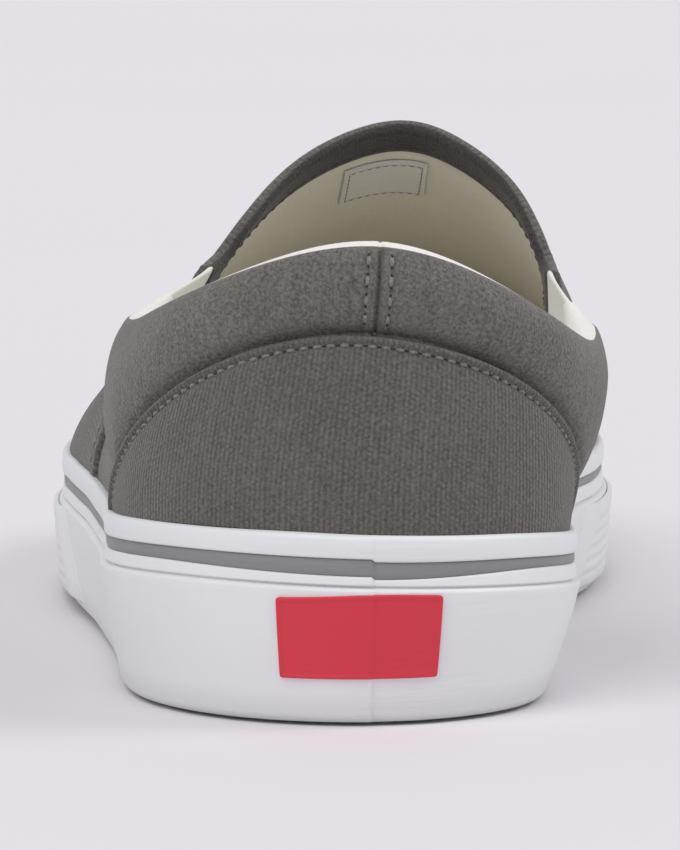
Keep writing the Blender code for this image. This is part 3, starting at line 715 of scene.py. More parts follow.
def elastic_look(name, colour):
    """Elastic webbing: fine cords running up, with a dense cross weave."""
    look = Look(name, colour, 0.8, Sheen_Weight=0.1, Specular_IOR_Level=0.3)
    height = weave(look, 0.0011, 0.0006, 0.45)[0]
    shade = look.plus(height, look.speckle(2500.0, 2.0))
    base = look.blend(look.spread(shade, 0.3, 1.4), tone(colour, 0.45), tone(colour, 1.5))
    return look.paint(base, None, look.bump(height, 0.00022))


def rubber_look(name, colour, roughness, grime=0.05, creases=1.0, worn_stretch_and_foot_shade=None):
    """Vulcanised rubber: a soft sheen, fine creases lying along the strip, faint handling marks.

    The last argument is the stretch along the strip where the creases grow strong; given it, the strip also gets
    painted shade, darker towards its foot."""
    look = Look(name, colour, roughness, Specular_IOR_Level=0.4)
    u, v = look.uv()
    crease = look.grain(u, v, 55.0, 620.0, 4.0, 0.6)
    patches = look.grain(u, v, 22.0, 30.0, 2.0)
    masked = look.times(look.spread(crease, 0.35, 0.65), look.spread(patches, 0.36, 0.66))
    pores, cloud = look.speckle(1500.0, 2.0), look.speckle(35.0, 4.0)
    base = look.blend(look.spread(cloud, 0.35, 0.75, 0.0, grime * 4), tone(colour, 1.0), tone(colour, 0.86))
    if worn_stretch_and_foot_shade is not None:
        masked = look.times(masked, look.spread(u, *worn_stretch_and_foot_shade, 0.12, 1.0))
        # Painted shade: the strip grows darker towards its foot, next to the floor.
        base = look.blend(look.spread(v, 0.0004, 0.0060, 0.45, 0.0), base, tone(colour, 0.62))
    rough = look.spread(pores, 0.3, 0.7, roughness - 0.06, roughness + 0.08)
    normal = look.bump(pores, 0.00002, 0.8, look.bump(masked, 0.00028 * creases))
    return look.paint(base, look.plus(rough, look.times(cloud, 0.05)), normal)


def outsole_look(name, colour):
    look = Look(name, colour, 0.6)
    base = look.blend(look.spread(look.speckle(40.0, 3.0), 0.35, 0.75), tone(colour, 1.0), tone(colour, 0.85))
    return look.paint(base, None, look.bump(look.speckle(900.0, 3.0), 0.0001, 0.6))


def thread_look(name, colour):
    """Twisted sewing thread."""
    look = Look(name, colour, 0.7, Sheen_Weight=0.2, Specular_IOR_Level=0.35)
    fine = look.speckle(3500.0, 2.0)
    base = look.blend(look.spread(fine, 0.3, 0.7), tone(colour, 0.6), tone(colour, 1.35))
    return look.paint(base, None, look.bump(fine, 0.00006))


def floor_look(name, colour):
    look = Look(name, colour, 0.75, Specular_IOR_Level=0.25)
    cloud = look.spread(look.speckle(1.2, 2.0), 0.3, 0.7)
    return look.paint(look.blend(cloud, tone(colour, 0.985), tone(colour, 1.0)))


def canvas_grey(factor):
    return tuple(c * factor for c in (0.118, 0.110, 0.102))


FINE_WEAVE = (0.0007, 0.0007, 0.8, 0.00004, 0.06)
WORN_STRETCH = (ROUND_LENGTH - 0.032, ROUND_LENGTH - 0.004)
canvas = canvas_look("grey canvas", canvas_grey(1.0))
fine_canvas = canvas_look("fine grey canvas", canvas_grey(1.18), *FINE_WEAVE, 0.48)
# The turned edge inside the throat is the same canvas, darkened as painted shade.
hem_canvas_shaded = canvas_look("grey canvas, turned edge, painted shade", canvas_grey(0.46), *FINE_WEAVE, 0.3)
lining = lining_look("cotton lining", (0.90, 0.89, 0.84))
# The vamp's lining is the same cream cloth, tinted darker and olive as painted shade deep inside the toe.
vamp_lining_shaded = lining_look("cotton lining, vamp, painted shade", (0.86, 0.83, 0.71))
edge_lining = lining_look("cotton lining, bound edge", (0.86, 0.85, 0.80))
footbed = lining_look("footbed cloth", (0.84, 0.81, 0.70))
tag_cloth = lining_look("woven tag", (0.80, 0.79, 0.74))
elastic = elastic_look("charcoal elastic", (0.050, 0.048, 0.046))
# The white rubber's creases are real wear; its darker foot is painted shade.
white_rubber = rubber_look("white foxing rubber", (0.79, 0.80, 0.815), 0.42, worn_stretch_and_foot_shade=WORN_STRETCH)
grey_rubber = rubber_look("grey foxing rubber", (0.245, 0.250, 0.262), 0.45, 0.03, 0.4)
red_rubber = rubber_look("red heel patch", (0.68, 0.036, 0.062), 0.38, 0.04, 0.3)
sole_rubber = outsole_look("off-white outsole rubber", (0.72, 0.72, 0.69))
thread = thread_look("grey thread", (0.215, 0.205, 0.195))
dark_thread = thread_look("dark grey thread", (0.080, 0.076, 0.070))
tag_thread = thread_look("tag thread", (0.33, 0.32, 0.29))
# Painted shade: the dark colour of the needle holes beside each stitch.
hole = thread_look("needle hole, painted shade", (0.022, 0.020, 0.018))


# Upper


def edge_profile(depth, outer, inner):
    """Outer and inner offsets of a wall whose top edge is round, at depths below the edge."""
    middle, radius = (outer + inner) / 2, (outer - inner) / 2
    bow = radius * rounded(depth, radius)
    return middle + bow, middle - bow


# Depths of the first rows below the top edge, and the row where the collar's lining ends
NEAR_EDGE = np.array([0.0, 0.03, 0.12, 0.26, 0.45, 0.7, 1.0, 1.4, 1.9, 2.6, 3.4, 4.3, 5.3, 6.4, 7.5, 8.2, 9.4]) / 1000
BINDING_ROW = 6


def depth_rows(near, length, rows):
    """Depths from the top edge down to the foxing for each place: a fine start, then even steps."""
    far = NEAR_EDGE[-1] + (length - NEAR_EDGE[-1]) * np.arange(1, rows + 1) / rows
    return np.concatenate([np.broadcast_to(near, (len(length), len(NEAR_EDGE))), far], axis=1)


def binding_depth(place):
    """How far the lining wraps over the collar's edge: a thin line behind, a wide flap beside the inserts."""
    flap = np.where(signed(place) > 0, 0.0016, 0.0010)
    return 0.0010 + flap * ease((np.abs(signed(place)) - 0.150) / 0.06)


def low_rows(place, extra, count=5):
    """Points down inside the foxing, below the upper's foot."""
    bottom, top = OUTSOLE_THICKNESS + 3 * CLEARANCE + EDGE_ROUND, foxing_top(place)[:, None]
    height = top + (bottom - top) * np.arange(1, count + 1) / count
    return ring_point(place[:, None], inner_wall(place[:, None], height) + CLEARANCE + extra, height)


def on_skin(place, depths):
    """Points and normals of the upper's outer form at depths below the top edge."""
    shares = meridians.share(place, depths)
    return skin(place, shares), skin_normal(place, shares)


def wall_solid(name, foot, outer, inner, looks, row_looks, flats):
    """A wall from the foxing over the top edge to the inside, as one closed solid."""
    low_out, low_in = low_rows(foot, 0.0), low_rows(foot, CANVAS_WALL)
    lows = low_out.shape[1]
    drop = LOW_ROW_PITCH * np.arange(1, lows + 1)
    flat_out, flat_in = flats
    flat_low = np.stack([flat_out[:, -1:, 0] + 0 * drop, flat_out[:, -1:, 1] - drop], axis=-1)
    grid = np.concatenate([low_out[:, ::-1], outer[:, ::-1], inner[:, 1:], low_in], axis=1)
    uv = np.concatenate([flat_low[:, ::-1], flat_out[:, ::-1], flat_in[:, 1:], flat_low], axis=1)
    looks_out, looks_in = row_looks
    ends = [[row[-1]] * lows for row in row_looks]
    kinds = np.concatenate([ends[0], looks_out[::-1], looks_in[1:], ends[1]])
    return loft(name, grid, uv, looks, kinds, flip=True)


def graded(start, end, step):
    """Arc positions from start to end with close ones at both ends."""
    fine = np.array([0.0, 0.00012, 0.0003, 0.0006, 0.001, 0.0016, 0.0026, 0.004])
    middle = np.linspace(start + fine[-1], end - fine[-1], int((end - start - 2 * fine[-1]) / step))
    return np.concatenate([start + fine[:-1], middle, end - fine[:-1][::-1]])


def seam_line(target, distance, rows, *grids):
    """The points, and the normals, where the distance across the cloth is target, row by row."""
    lines = []
    for values in grids:
        line = []
        for k in rows:
            order = np.argsort(distance[:, k])
            line.append([np.interp(target, distance[order, k], values[order, k, c]) for c in range(3)])
        lines.append(np.array(line))
    return lines


def build_vamp():
    """The front of the upper, whose back edges are turned and sewn down over the quarters."""
    span = (MEDIAL_GORE[1] - LATERAL_GORE[1]) * ROUND_LENGTH
    place = LATERAL_GORE[1] + graded(0.0, span, 0.0024) / ROUND_LENGTH
    depths = depth_rows(NEAR_EDGE, meridians.length(place)[:, None], 44)
    points, normals = on_skin(place[:, None], depths)
    from_lateral = run_along(points, 0)
    from_medial = from_lateral[-1] - from_lateral
    from_edge = np.minimum(from_lateral, from_medial)
    rounding = rounded(from_edge, FOLD_RADIUS)
    hem = 1 - ease((from_edge - HEM_WIDTH) / 0.0012)
    sewn = sum(ridge(from_edge, offset, STITCH_DENT) for offset in HEM_STITCHES)
    thick = (VAMP_STEP + HEM_RELIEF * hem) * rounding - 0.0003 * sewn * hem
    waves = wrinkle(points * np.array([1.0, 0.7, 1.0]), 0.030, 3.0) * 0.00055 + wrinkle(points, 0.011, 9.0) * 0.00018
    waves = waves * ease(from_edge / 0.02) * ease(depths / 0.015) * ease((depths[:, -1:] - depths) / 0.02)
    turned = depths < HEM_WIDTH
    out, inn = edge_profile(depths, thick, np.where(turned, -CANVAS_WALL, -CANVAS_WALL + 0.00045))
    out = out + waves - 0.00018 * ridge(depths, HEM_STITCHES[0], STITCH_DENT)
    outer, inner = points + normals * out[..., None], points + normals * inn[..., None]
    crest = skin(np.full(200, place[np.argmin(np.abs(place - 0.5))]), np.linspace(0, 1, 200))
    crest = crest[np.argsort(crest[:, 1])]
    x, y, z = np.moveaxis(points, -1, 0)
    from_crest = np.hypot(x - np.interp(y, crest[:, 1], crest[:, 0]), z - np.interp(y, crest[:, 1], crest[:, 2]))
    from_crest = from_crest * np.where(place[:, None] > 0.5, 1.0, -1.0)
    flats = np.stack([from_crest, y], axis=-1), np.stack([x, y + z], axis=-1)
    # Inside the throat, the turned edge and the lining both carry painted shade.
    row_looks = np.zeros(depths.shape[1], int), np.where(turned[0], 1, 2)
    piece = wall_solid("vamp", place, outer, inner, [canvas, hem_canvas_shaded, vamp_lining_shaded], row_looks, flats)
    add_piece(piece, "canvas", "upper")
    for name, distance in (("lateral", from_lateral), ("medial", from_medial)):
        for number, offset in enumerate(HEM_STITCHES, 1):
            path, up = seam_line(offset, distance, range(8, depths.shape[1] - 1), outer, normals)
            sew(f"vamp_stitches_{name}_{number}", path, up, thread, radius=0.00036)
    inside = np.argmin(np.abs(depths[0] - HEM_STITCHES[1]))
    sew("throat_hem_stitches", inner[4:-4, inside], -normals[4:-4, inside], dark_thread, radius=0.00026)


def front_edge(depth, gore):
    """Place of the quarter's front edge at a depth: back from the vamp by the gore's width."""
    quarter_side, vamp_side = signed(gore)
    width = GORE_POINT + (1 - GORE_POINT) * ease(1 - depth / GORE_DEPTH)
    closing = ease((depth - GORE_DEPTH + 0.006) / 0.0068)
    return vamp_side - (vamp_side - quarter_side) * width * (1 - closing)


def build_quarters():
    """Both quarters and the padded collar, as one wall from gore to gore round the heel."""
    reach = LATERAL_GORE[1] * ROUND_LENGTH
    column = graded(-reach, reach, 0.0021)
    at_seam = BACK_SEAM_ARC + np.arange(-0.0042, 0.00421, 0.00028)
    column = np.sort(np.concatenate([column[np.abs(column - BACK_SEAM_ARC) > 0.0046], at_seam]))[:, None] / reach
    rows = 40
    place = np.mod(column * LATERAL_GORE[1], 1.0)
    wrap, spot = binding_depth(place), NEAR_EDGE[BINDING_ROW]
    below = wrap + (NEAR_EDGE - spot) * (NEAR_EDGE[-1] - wrap) / (NEAR_EDGE[-1] - spot)
    near = np.where(NEAR_EDGE < spot, NEAR_EDGE * wrap / spot, below)
    depths = depth_rows(NEAR_EDGE, meridians.length(place), rows)
    for _ in range(3):
        place = column * np.where(column > 0, front_edge(depths, LATERAL_GORE), -front_edge(depths, MEDIAL_GORE))
        depths = depth_rows(near, meridians.length(place)[:, len(NEAR_EDGE):], rows)
    place = np.mod(place, 1.0)
    points, normals = on_skin(place, depths)
    run = run_along(points, 0)
    from_front = np.minimum(run, run[-1] - run)
    rounding = rounded(from_front, FOLD_RADIUS)
    pad = padding(place, depths)
    arc = heel_arc(place)
    over_counter = points[..., 2] - foot_of(place)[..., 2] - counter_arch(place)
    seam = sum(height * ridge(np.abs(arc - BACK_SEAM_ARC), centre, width) for height, centre, width in SEAM_RELIEF)
    tucked = -0.0014 * ridge(over_counter - EDGE_ROUND, 0.0006, 0.0012) * (counter_arch(place) > 0.002)
    waves = wrinkle(points, 0.022, 21.0) * 0.0005 + wrinkle(points, 0.009, 5.0) * 0.00016
    waves = waves * ease(from_front / 0.01) * ease(depths / 0.006) * ease((depths[:, -1:] - depths) / 0.008)
    side_hem = 0.00025 * (1 - ease((from_front - 0.0050) / 0.001)) * rounding
    sewn = -0.0002 * ridge(from_front, QUARTER_STITCHES, STITCH_DENT)
    sunk = 0.0020 * ridge(from_front, 0.0, 0.0022) * ease((depths - GORE_DEPTH + 0.004) / 0.006)
    full_out = PAD_BULGE_OUT * pad + side_hem * (1 - pad) - 0.0010 * (1 - rounding) - sunk
    full_in = -CANVAS_WALL - PAD_BULGE_IN * pad
    bead, rest = rounded(depths, BEAD_DEPTH), -CANVAS_WALL / 2
    past_binding = 0.0004 * ease((depths - wrap) / 0.0003 + 0.3) * rounding
    relief = past_binding + seam * ease(over_counter / 0.002) + tucked + sewn * (1 - pad) + waves
    outer = points + normals * (rest + (full_out - rest) * bead + relief)[..., None]
    inner = points + normals * (rest + (full_in - rest) * bead)[..., None]
    flat = np.stack([arc, points[..., 2]], axis=-1)
    bound = np.arange(depths.shape[1]) <= BINDING_ROW
    row_looks = np.where(bound, 2, 0), np.where(bound, 2, 1)
    looks = [fine_canvas, lining, edge_lining]
    piece = wall_solid("quarters_and_padded_collar", place[:, -1], outer, inner, looks, row_looks, (flat, flat))
    add_piece(piece, "canvas", "upper")
    for name, target in (("right", BACK_SEAM_ARC - SEAM_STITCHES), ("left", BACK_SEAM_ARC + SEAM_STITCHES)):
        path, up = seam_line(target, arc, range(8, depths.shape[1]), outer, normals)
        there = place_at_arc(target)
        hidden = path[:, 2] < foot_of(there)[2] + counter_arch(there) + EDGE_ROUND + 0.0012
        last = np.argmax(hidden)
        sew(f"back_seam_stitches_{name}", path[:last], up[:last], thread, pitch=0.0030, length=0.0018, radius=0.0004)
    for name, end, distance in (("medial", 0, run), ("lateral", -1, run[-1] - run)):
        last = np.argmax(depths[end] > GORE_DEPTH - 0.001)
        path, up = seam_line(QUARTER_STITCHES, distance, range(6, last), outer, normals)
        sew(f"quarter_stitches_{name}", path, up, thread)


def build_gore(name, gore):
    """Elastic insert in its notch, tucked a little under both neighbours."""
    quarter_side, vamp_side = signed(gore)
    tuck = 0.0007 / ROUND_LENGTH * np.sign(vamp_side - quarter_side)
    depths = np.concatenate([[0.0, 0.0001, 0.0003, 0.0006], np.linspace(0.001, GORE_DEPTH + 0.001, 40)])
    rows = len(depths)
    start = front_edge(depths, gore) - tuck
    across = np.linspace(0.0, 1.0, 22)[:, None]
    place = np.mod(start + (vamp_side + tuck - start) * across, 1.0)
    points, normals = on_skin(place, depths)
    out, inn = edge_profile(depths, -0.00045 - 0.0004 * np.sin(np.pi * across), -0.0015)
    outer, inner = points + normals * out[..., None], points + normals * inn[..., None]
    flat = np.stack([heel_arc(place), np.broadcast_to(-depths, place.shape)], axis=-1)
    grid, uv = (np.concatenate([a[:, ::-1], b[:, 1:]], axis=1) for a, b in ((outer, inner), (flat, flat)))
    kinds = np.arange(2 * rows - 1) >= rows - 5
    piece = loft(f"{name}_elastic_insert", grid, uv, [elastic, edge_lining], kinds, flip=vamp_side > quarter_side)
    add_piece(piece, "elastic", f"{name}_gore")


def share_at_height(place, heights):
    """Shares up one meridian at which it reaches the heights."""
    shares = np.linspace(0.0, 1.0, 121)
    return np.interp(heights, skin(place, shares)[:, 2], shares)


def build_counter():
    """The heel overlay with its turned and stitched arched edge."""
    margin, steps = 0.0006, 22
    arcs = graded(-COUNTER_REACH - COUNTER_SHIFT + margin, COUNTER_REACH - COUNTER_SHIFT - margin, 0.0011)
    places = place_at_arc(arcs)
    feet, arch = foot_of(places)[:, 2], counter_arch(places)
    lean = 1 / np.sqrt(1 + np.gradient(arch, arcs) ** 2)
    from_top = np.array([0.0, 0.08, 0.2, 0.4, 0.7, 1.0, 1.3, 1.6, 1.9, 2.2, 2.6, 3.1]) / 1000
    outer, inner, flat, edges, ups = [], [], [], [], []
    for arc, place, foot, top, cosine in zip(arcs, places, feet, arch, lean):
        head = foot + EDGE_ROUND + top
        tall = head - foot + margin
        drop = from_top / cosine
        if drop[-1] > tall * 0.6:
            drop = np.minimum(drop, tall * np.linspace(0, 0.6, len(drop)))
        drop = np.concatenate([drop, drop[-1] + (tall - drop[-1]) * np.arange(1, steps + 1) / steps])
        from_edge = drop * cosine
        shares = share_at_height(place, head - drop)
        base, normal = skin(place, shares), skin_normal(place, shares)
        fold = 0.0006 * (1 - ease((from_edge - 0.0008) / 0.0008))
        thick = (COUNTER_THICKNESS + fold) * rounded(from_edge, 0.00055)
        thick = thick - 0.0004 * ridge(from_edge, COUNTER_STITCHES, STITCH_DENT)
        outer.append(base + normal * (CLEARANCE * 0.5 + thick)[:, None])
        inner.append(base + normal * (CLEARANCE * 0.5))
        flat.append(np.stack([np.full_like(drop, arc), head - drop], axis=-1))
        sewn = int(np.argmin(np.abs(from_edge - COUNTER_STITCHES)))
        edges.append(outer[-1][sewn])
        ups.append(normal[sewn])
    outer, inner, flat = np.array(outer), np.array(inner), np.array(flat)
    puff = wrinkle(outer, 0.02, 40.0) * 0.0004 + wrinkle(outer, 0.008, 2.0) * 0.00012
    depths = (feet + EDGE_ROUND + arch)[:, None] - flat[..., 1]
    away = (outer - inner) / np.maximum(np.linalg.norm(outer - inner, axis=-1, keepdims=True), 1e-6)
    outer = outer + away * (puff * ease((depths - 0.003) / 0.006))[..., None]
    grid, uv = (np.concatenate([a[:, ::-1], b[:, 1:]], axis=1) for a, b in ((outer, inner), (flat, flat)))
    add_piece(loft("heel_counter_overlay", grid, uv, [canvas], flip=True), "canvas", "heel_counter")
    sew("counter_stitches", edges[6:-6], ups[6:-6], thread, pitch=0.0023, length=0.0018)


# Foxing and sole


def ring_of_places(step):
    """Even places round the shoe, about a step apart."""
    count = int(ROUND_LENGTH / step)
    return np.arange(count) / count


def fade_from_seam(places, distance):
    """1 at the foxing's seam, falling to 0 at a distance round the heel."""
    arc = heel_arc(places)
    return (1 - ease(distance(arc - FOXING_SEAM_ARC))) * (np.abs(arc) < 0.06)


def line_drop(places):
    """The wound strip's end lies a little lower on the medial side of the seam."""
    before = np.clip((FOXING_SEAM_ARC - heel_arc(places)) / SEAM_RAMP + 1, 0.0, 1.0)
    return 0.0005 * before * fade_from_seam(places, lambda past: -past / 0.035)


def overlap_step(places):
    """Extra thickness on the lateral side of the foxing's seam, fading out round the heel."""
    after = np.clip((heel_arc(places) - FOXING_SEAM_ARC) / SEAM_RAMP, 0.0, 1.0)
    return FOXING_SEAM_STEP * after * fade_from_seam(places, lambda past: (past - 0.004) / 0.030)


def line_height(places):
    """Visible height of the grey line, fullest behind the heel and slimmer along the sides."""
    arc = heel_arc(places)
    slim = np.where(arc > 0, 0.22 * ease(arc / 0.045), 0.38 * ease(-arc / 0.045))
    return (STRIPE_HEIGHT + 2 * CLEARANCE) * (0.93 - slim)


def seam_places():
    """Places round the shoe, with close ones at the foxing's seam."""
    extra = place_at_arc(FOXING_SEAM_ARC + np.array([-0.9, -0.3, 0.0, 0.2, 0.4, 0.6, 0.9]) / 1000)
    keep = [p for p in ring_of_places(0.0021) if np.min(np.abs(signed(p - extra))) * ROUND_LENGTH > 0.0007]
    return np.sort(np.concatenate([keep, extra]))


def ring_solid(name, places, section, look, slot, node):
    """A closed strip round the shoe. section lists its insets and heights, each for every place."""
    insets, heights = (
        np.stack([np.broadcast_to(row[k], places.shape) for row in section], axis=1) for k in (0, 1)
    )
    grid = ring_point(places[:, None], insets, heights)
    uv = np.stack([np.broadcast_to(places[:, None] * ROUND_LENGTH, heights.shape), heights], axis=-1)
    add_piece(loft(name, grid, uv, [look], ring=True, sharp=50), slot, node)


def quarter_turn(count, start=0.0, end=90.0):
    """How far a rounded edge has come across and along, as 1 - sine and 1 - cosine of its angle."""
    angles = np.radians(np.linspace(start, end, count))
    return zip(1 - np.sin(angles), 1 - np.cos(angles))


def build_foxing():
    """The white sidewall: top band, groove for the grey line, ridge, body and the shelf inside."""
    places = seam_places()
    top, body, step = foxing_top(places), body_top(places), overlap_step(places)
    groove_high = top - TOP_BAND - line_drop(places)
    groove_low = groove_high - line_height(places)
    turns = 2 * math.pi * places
    spots = np.stack([np.cos(turns) * 6, np.sin(turns) * 6, np.full_like(turns, 1.7)], axis=-1)
    wobble = 0.00022 * wrinkle(spots, 1.0, 0.0)
    rim, small, bead = 0.0010, 0.0004, 0.0007
    section = [(rim * s - step * (1 - s), top - rim * c + wobble) for s, c in quarter_turn(7)]
    section.append((-step - 0.00008, top - TOP_BAND * 0.5))
    section += [(small * c - step, groove_high + small * s) for s, c in quarter_turn(4)]
    groove = STRIPE_RECESS + STRIPE_THICKNESS + 0.0003
    section += [(groove, groove_high), (groove, groove_low)]
    section += [(0.0002 + small * c - step, groove_low - small * s) for s, c in quarter_turn(4, 90.0, 0.0)]
    section += [
        (0.0001 - step, body + RIDGE_HEIGHT * 0.35),
        (0.0007 - step * 0.5, body + 0.00022),
        (0.0005 - step * 0.5, body),
    ]
    section += [(bead * s - BODY_STEP - step, body - bead * c) for s, c in quarter_turn(5, 20.0)]
    section += [(taper(places, body * k) - BODY_STEP - step, body * k) for k in np.linspace(0.93, 0.10, 20)]
    low = FOXING_FLOOR_GAP + FOXING_EDGE_RADIUS
    low_inset = taper(places, low) - BODY_STEP - step
    section += [
        (low_inset + FOXING_EDGE_RADIUS * c, low - FOXING_EDGE_RADIUS * (1 - s)) for s, c in quarter_turn(7)
    ]
    foot, seat = sole_edge(places), OUTSOLE_THICKNESS + CLEARANCE
    section += [(foot, FOXING_FLOOR_GAP), (foot, seat)]
    shelf = seat + EDGE_ROUND
    for share in np.linspace(0.0, 1.0, 6):
        height = shelf + (top - 0.0012 - shelf) * share
        section.append((inner_wall(places, height), height))
    section.append((FOXING_LIP * 0.96, top - 0.0003 + wobble))
    ring_solid("foxing_sidewall", places, section, white_rubber, "white_rubber", "foxing")


def build_stripe():
    """The grey line in its groove, with softened edges."""
    places = seam_places()
    high = foxing_top(places) - TOP_BAND - line_drop(places) - 0.00005
    low = high - line_height(places) + 0.0001
    outer, inner = STRIPE_RECESS - overlap_step(places) * 0.8, STRIPE_RECESS + STRIPE_THICKNESS
    section = [
        (outer + 0.0002, high), (outer, high - 0.0003), (outer - 0.00005, (high + low) / 2),
        (outer, low + 0.0003), (outer + 0.0002, low), (inner, low), (inner, high),
    ]
    ring_solid("grey_foxing_line", places, section, grey_rubber, "grey_rubber", "foxing_stripe")


def build_bumper():
    """The second strip round the toe: plain rims and a field of fine flutes between them."""
    share = np.concatenate([[0.0, 0.0004, 0.001], np.linspace(0.002, 0.998, 300), [0.999, 0.9996, 1.0]])
    span = MEDIAL_BUMPER_END - LATERAL_BUMPER_END
    end = np.minimum(share, 1 - share) * span * ROUND_LENGTH
    ramp = 0.25 * rounded(end, FOLD_RADIUS) + 0.75 * ease(end / 0.012)
    levels = np.concatenate([[0.995, 0.985, 0.97, 0.95], np.linspace(0.92, 0.12, 46), [0.09, 0.07, 0.055, 0.045]])
    profile = np.sin(np.clip(np.minimum(1 - levels, levels - 0.035) / 0.035, 0.0, 1.0) * np.pi / 2)

    def along(level):
        """Places, heights and the sidewall's insets along the strip at one level of its height."""
        lean = BUMPER_SLANT / ROUND_LENGTH * (1 - level)
        places = LATERAL_BUMPER_END - lean + (span + 2 * lean) * share
        height = FOXING_EDGE_RADIUS + (body_top(places) - BODY_STEP - FOXING_EDGE_RADIUS) * level
        return places, height, taper(places, height) - BODY_STEP

    rows = []
    for level, bow in zip(levels, profile):
        places, height, inset = along(level)
        field = ease((level - 0.14) / 0.03) * ease((0.86 - level) / 0.03) * ease((end - 0.012) / 0.002)
        flutes = -0.00022 * field * (0.5 + 0.5 * np.cos(2 * np.pi * height / 0.0024))
        extra = (BUMPER_THICKNESS * bow + flutes) * ramp - 0.0004 * (1 - ramp)
        rows.append((places, height, inset - CLEARANCE * 0.3 - extra))
    for level in levels[::-1][::6]:
        places, height, inset = along(level)
        rows.append((places, height, inset + 0.0005))
    places, heights, insets = (np.stack(values, axis=1) for values in zip(*rows))
    uv = np.stack([places * ROUND_LENGTH, heights], axis=-1)
    piece = loft("toe_strip", ring_point(places, insets, heights), uv, [white_rubber], sharp=45)
    add_piece(piece, "white_rubber", "toe_bumper")


def build_label():
    """A plain red rubber patch with round corners and a low rim, creased over the foxing's seam."""
    per_place = np.linalg.norm(outline_plain(0.002) - outline_plain(0.0)) / 0.002
    radius, half_w, half_h = 0.0007, LABEL_WIDTH / 2, LABEL_HEIGHT / 2
    rim = np.array([0.0, 0.0001, 0.00022, 0.0004, 0.0007, 0.00085, 0.0011])
    seam = -FOXING_SEAM_ARC - LABEL_SHIFT + np.array([-0.9, -0.6, -0.4, -0.2, 0.0, 0.3]) / 1000
    middle = np.linspace(-half_w + 0.002, half_w - 0.002, 25)
    middle = np.sort(np.concatenate([middle[np.min(np.abs(middle[:, None] - seam), axis=1) > 0.0005], seam]))
    u = np.concatenate([-half_w + rim, middle, (half_w - rim)[::-1]])
    v = np.concatenate([-half_h + rim, np.linspace(-half_h + 0.002, half_h - 0.002, 11), (half_h - rim)[::-1]])
    v, u = np.meshgrid(v, u, indexing="ij")
    edge = np.minimum(half_w - np.abs(u), half_h - np.abs(v))
    a = np.clip((np.abs(u) - half_w + radius) / radius, 0.0, 1.0)
    b = np.clip((np.abs(v) - half_h + radius) / radius, 0.0, 1.0)
    corner = a * b > 0
    x = np.sign(u) * np.where(corner, half_w - radius + radius * a * np.sqrt(1 - b * b / 2), np.abs(u))
    z = np.sign(v) * np.where(corner, half_h - radius + radius * b * np.sqrt(1 - a * a / 2), np.abs(v))
    places = np.mod(-(x + LABEL_SHIFT) / per_place, 1.0)
    height = LABEL_BASE + half_h + z + 0.0003 * np.sin(x / 0.006 + 1.0) * (z > 0)
    inset = taper(places, height) - BODY_STEP - overlap_step(places)
    round_edge = rounded(edge, 0.00025)
    raised = PATCH_RIM * (1 - ease((edge - 0.0006) / 0.0003))
    lift = (PATCH_LIFT + raised) * round_edge - 0.0001 * (1 - round_edge)
    under, over = (ring_point(places, inset - lifted, height) for lifted in (-0.0003, lift))
    piece = sheet_solid("plain_heel_patch", under, over, np.stack([x, z], axis=-1), red_rubber)
    add_piece(piece, "red_rubber", "heel_label")


def spine():
    """The middle line of the outline, as positions along the shoe and across it."""
    ring = outline_curve(np.linspace(0.0, 1.0, 2000))
    y = np.linspace(CENTRE[1] + 0.004, CENTRE[1] + LENGTH - 0.004, 60)
    sides = [np.interp(y, side[:, 1], side[:, 0]) for side in (ring[:1000], ring[1000:][::-1])]
    return y, sum(sides) / 2


def build_insole():
    """The footbed: a dished cushion with a turned rim, thicker at the heel."""
    places = ring_of_places(0.0028)
    low = OUTSOLE_THICKNESS + CLEARANCE

    def high(y):
        along = (y - CENTRE[1]) / LENGTH
        return low + INSOLE_HEEL + (INSOLE_FORE - INSOLE_HEEL) * ease((along - 0.25) / 0.45)

    outline_y = outline_curve(places)[:, 1]
    clear, radius = CANVAS_WALL + 1.5 * CLEARANCE, 0.0011
    foot = np.maximum(sole_edge(places), inner_wall(places, low + EDGE_ROUND) + clear)
    rim = inner_wall(places, high(outline_y)) + clear
    rows = [(foot, low + 0 * foot), (foot, low + 0.001 + 0 * foot)]
    rows += [(rim + radius * c, high(outline_y) - radius * s) for s, c in quarter_turn(5)]
    rings = [ring_point(places, inset, height) for inset, height in rows]
    top = rings[-1]
    centre_y = np.clip(outline_y, CENTRE[1] + LENGTH * 0.10, CENTRE[1] + LENGTH * 0.88)
    centre_x = np.interp(centre_y, *spine())
    for share in (0.04, 0.09, 0.15, 0.23, 0.32, 0.42, 0.53, 0.65, 0.78, 0.90, 0.97):
        x = top[:, 0] * (1 - share) + centre_x * share
        y = top[:, 1] * (1 - share) + centre_y * share
        rings.append(np.stack([x, y, ground(y) + high(y) - 0.0016 * ease(share / 0.5)], axis=-1))
    grid = np.stack(rings, axis=1)
    count, rows = grid.shape[:2]
    faces = []
    for i in range(count):
        j = (i + 1) % count
        for k in range(rows - 1):
            faces.append([j * rows + k, j * rows + k + 1, i * rows + k + 1, i * rows + k])
    for k, turn in ((0, 1), (rows - 1, -1)):
        for i in range(count // 2):
            quad = [i, i + 1, count - i - 1, (count - i) % count][::turn]
            faces.append(list(dict.fromkeys(q * rows + k for q in quad)))
    flat = grid.reshape(-1, 3)[[corner for face in faces for corner in face], :2]
    piece = make_object("footbed", grid, faces, [footbed], np.zeros(len(faces)), flat, 60)
    add_piece(piece, "footbed_cloth", "insole")


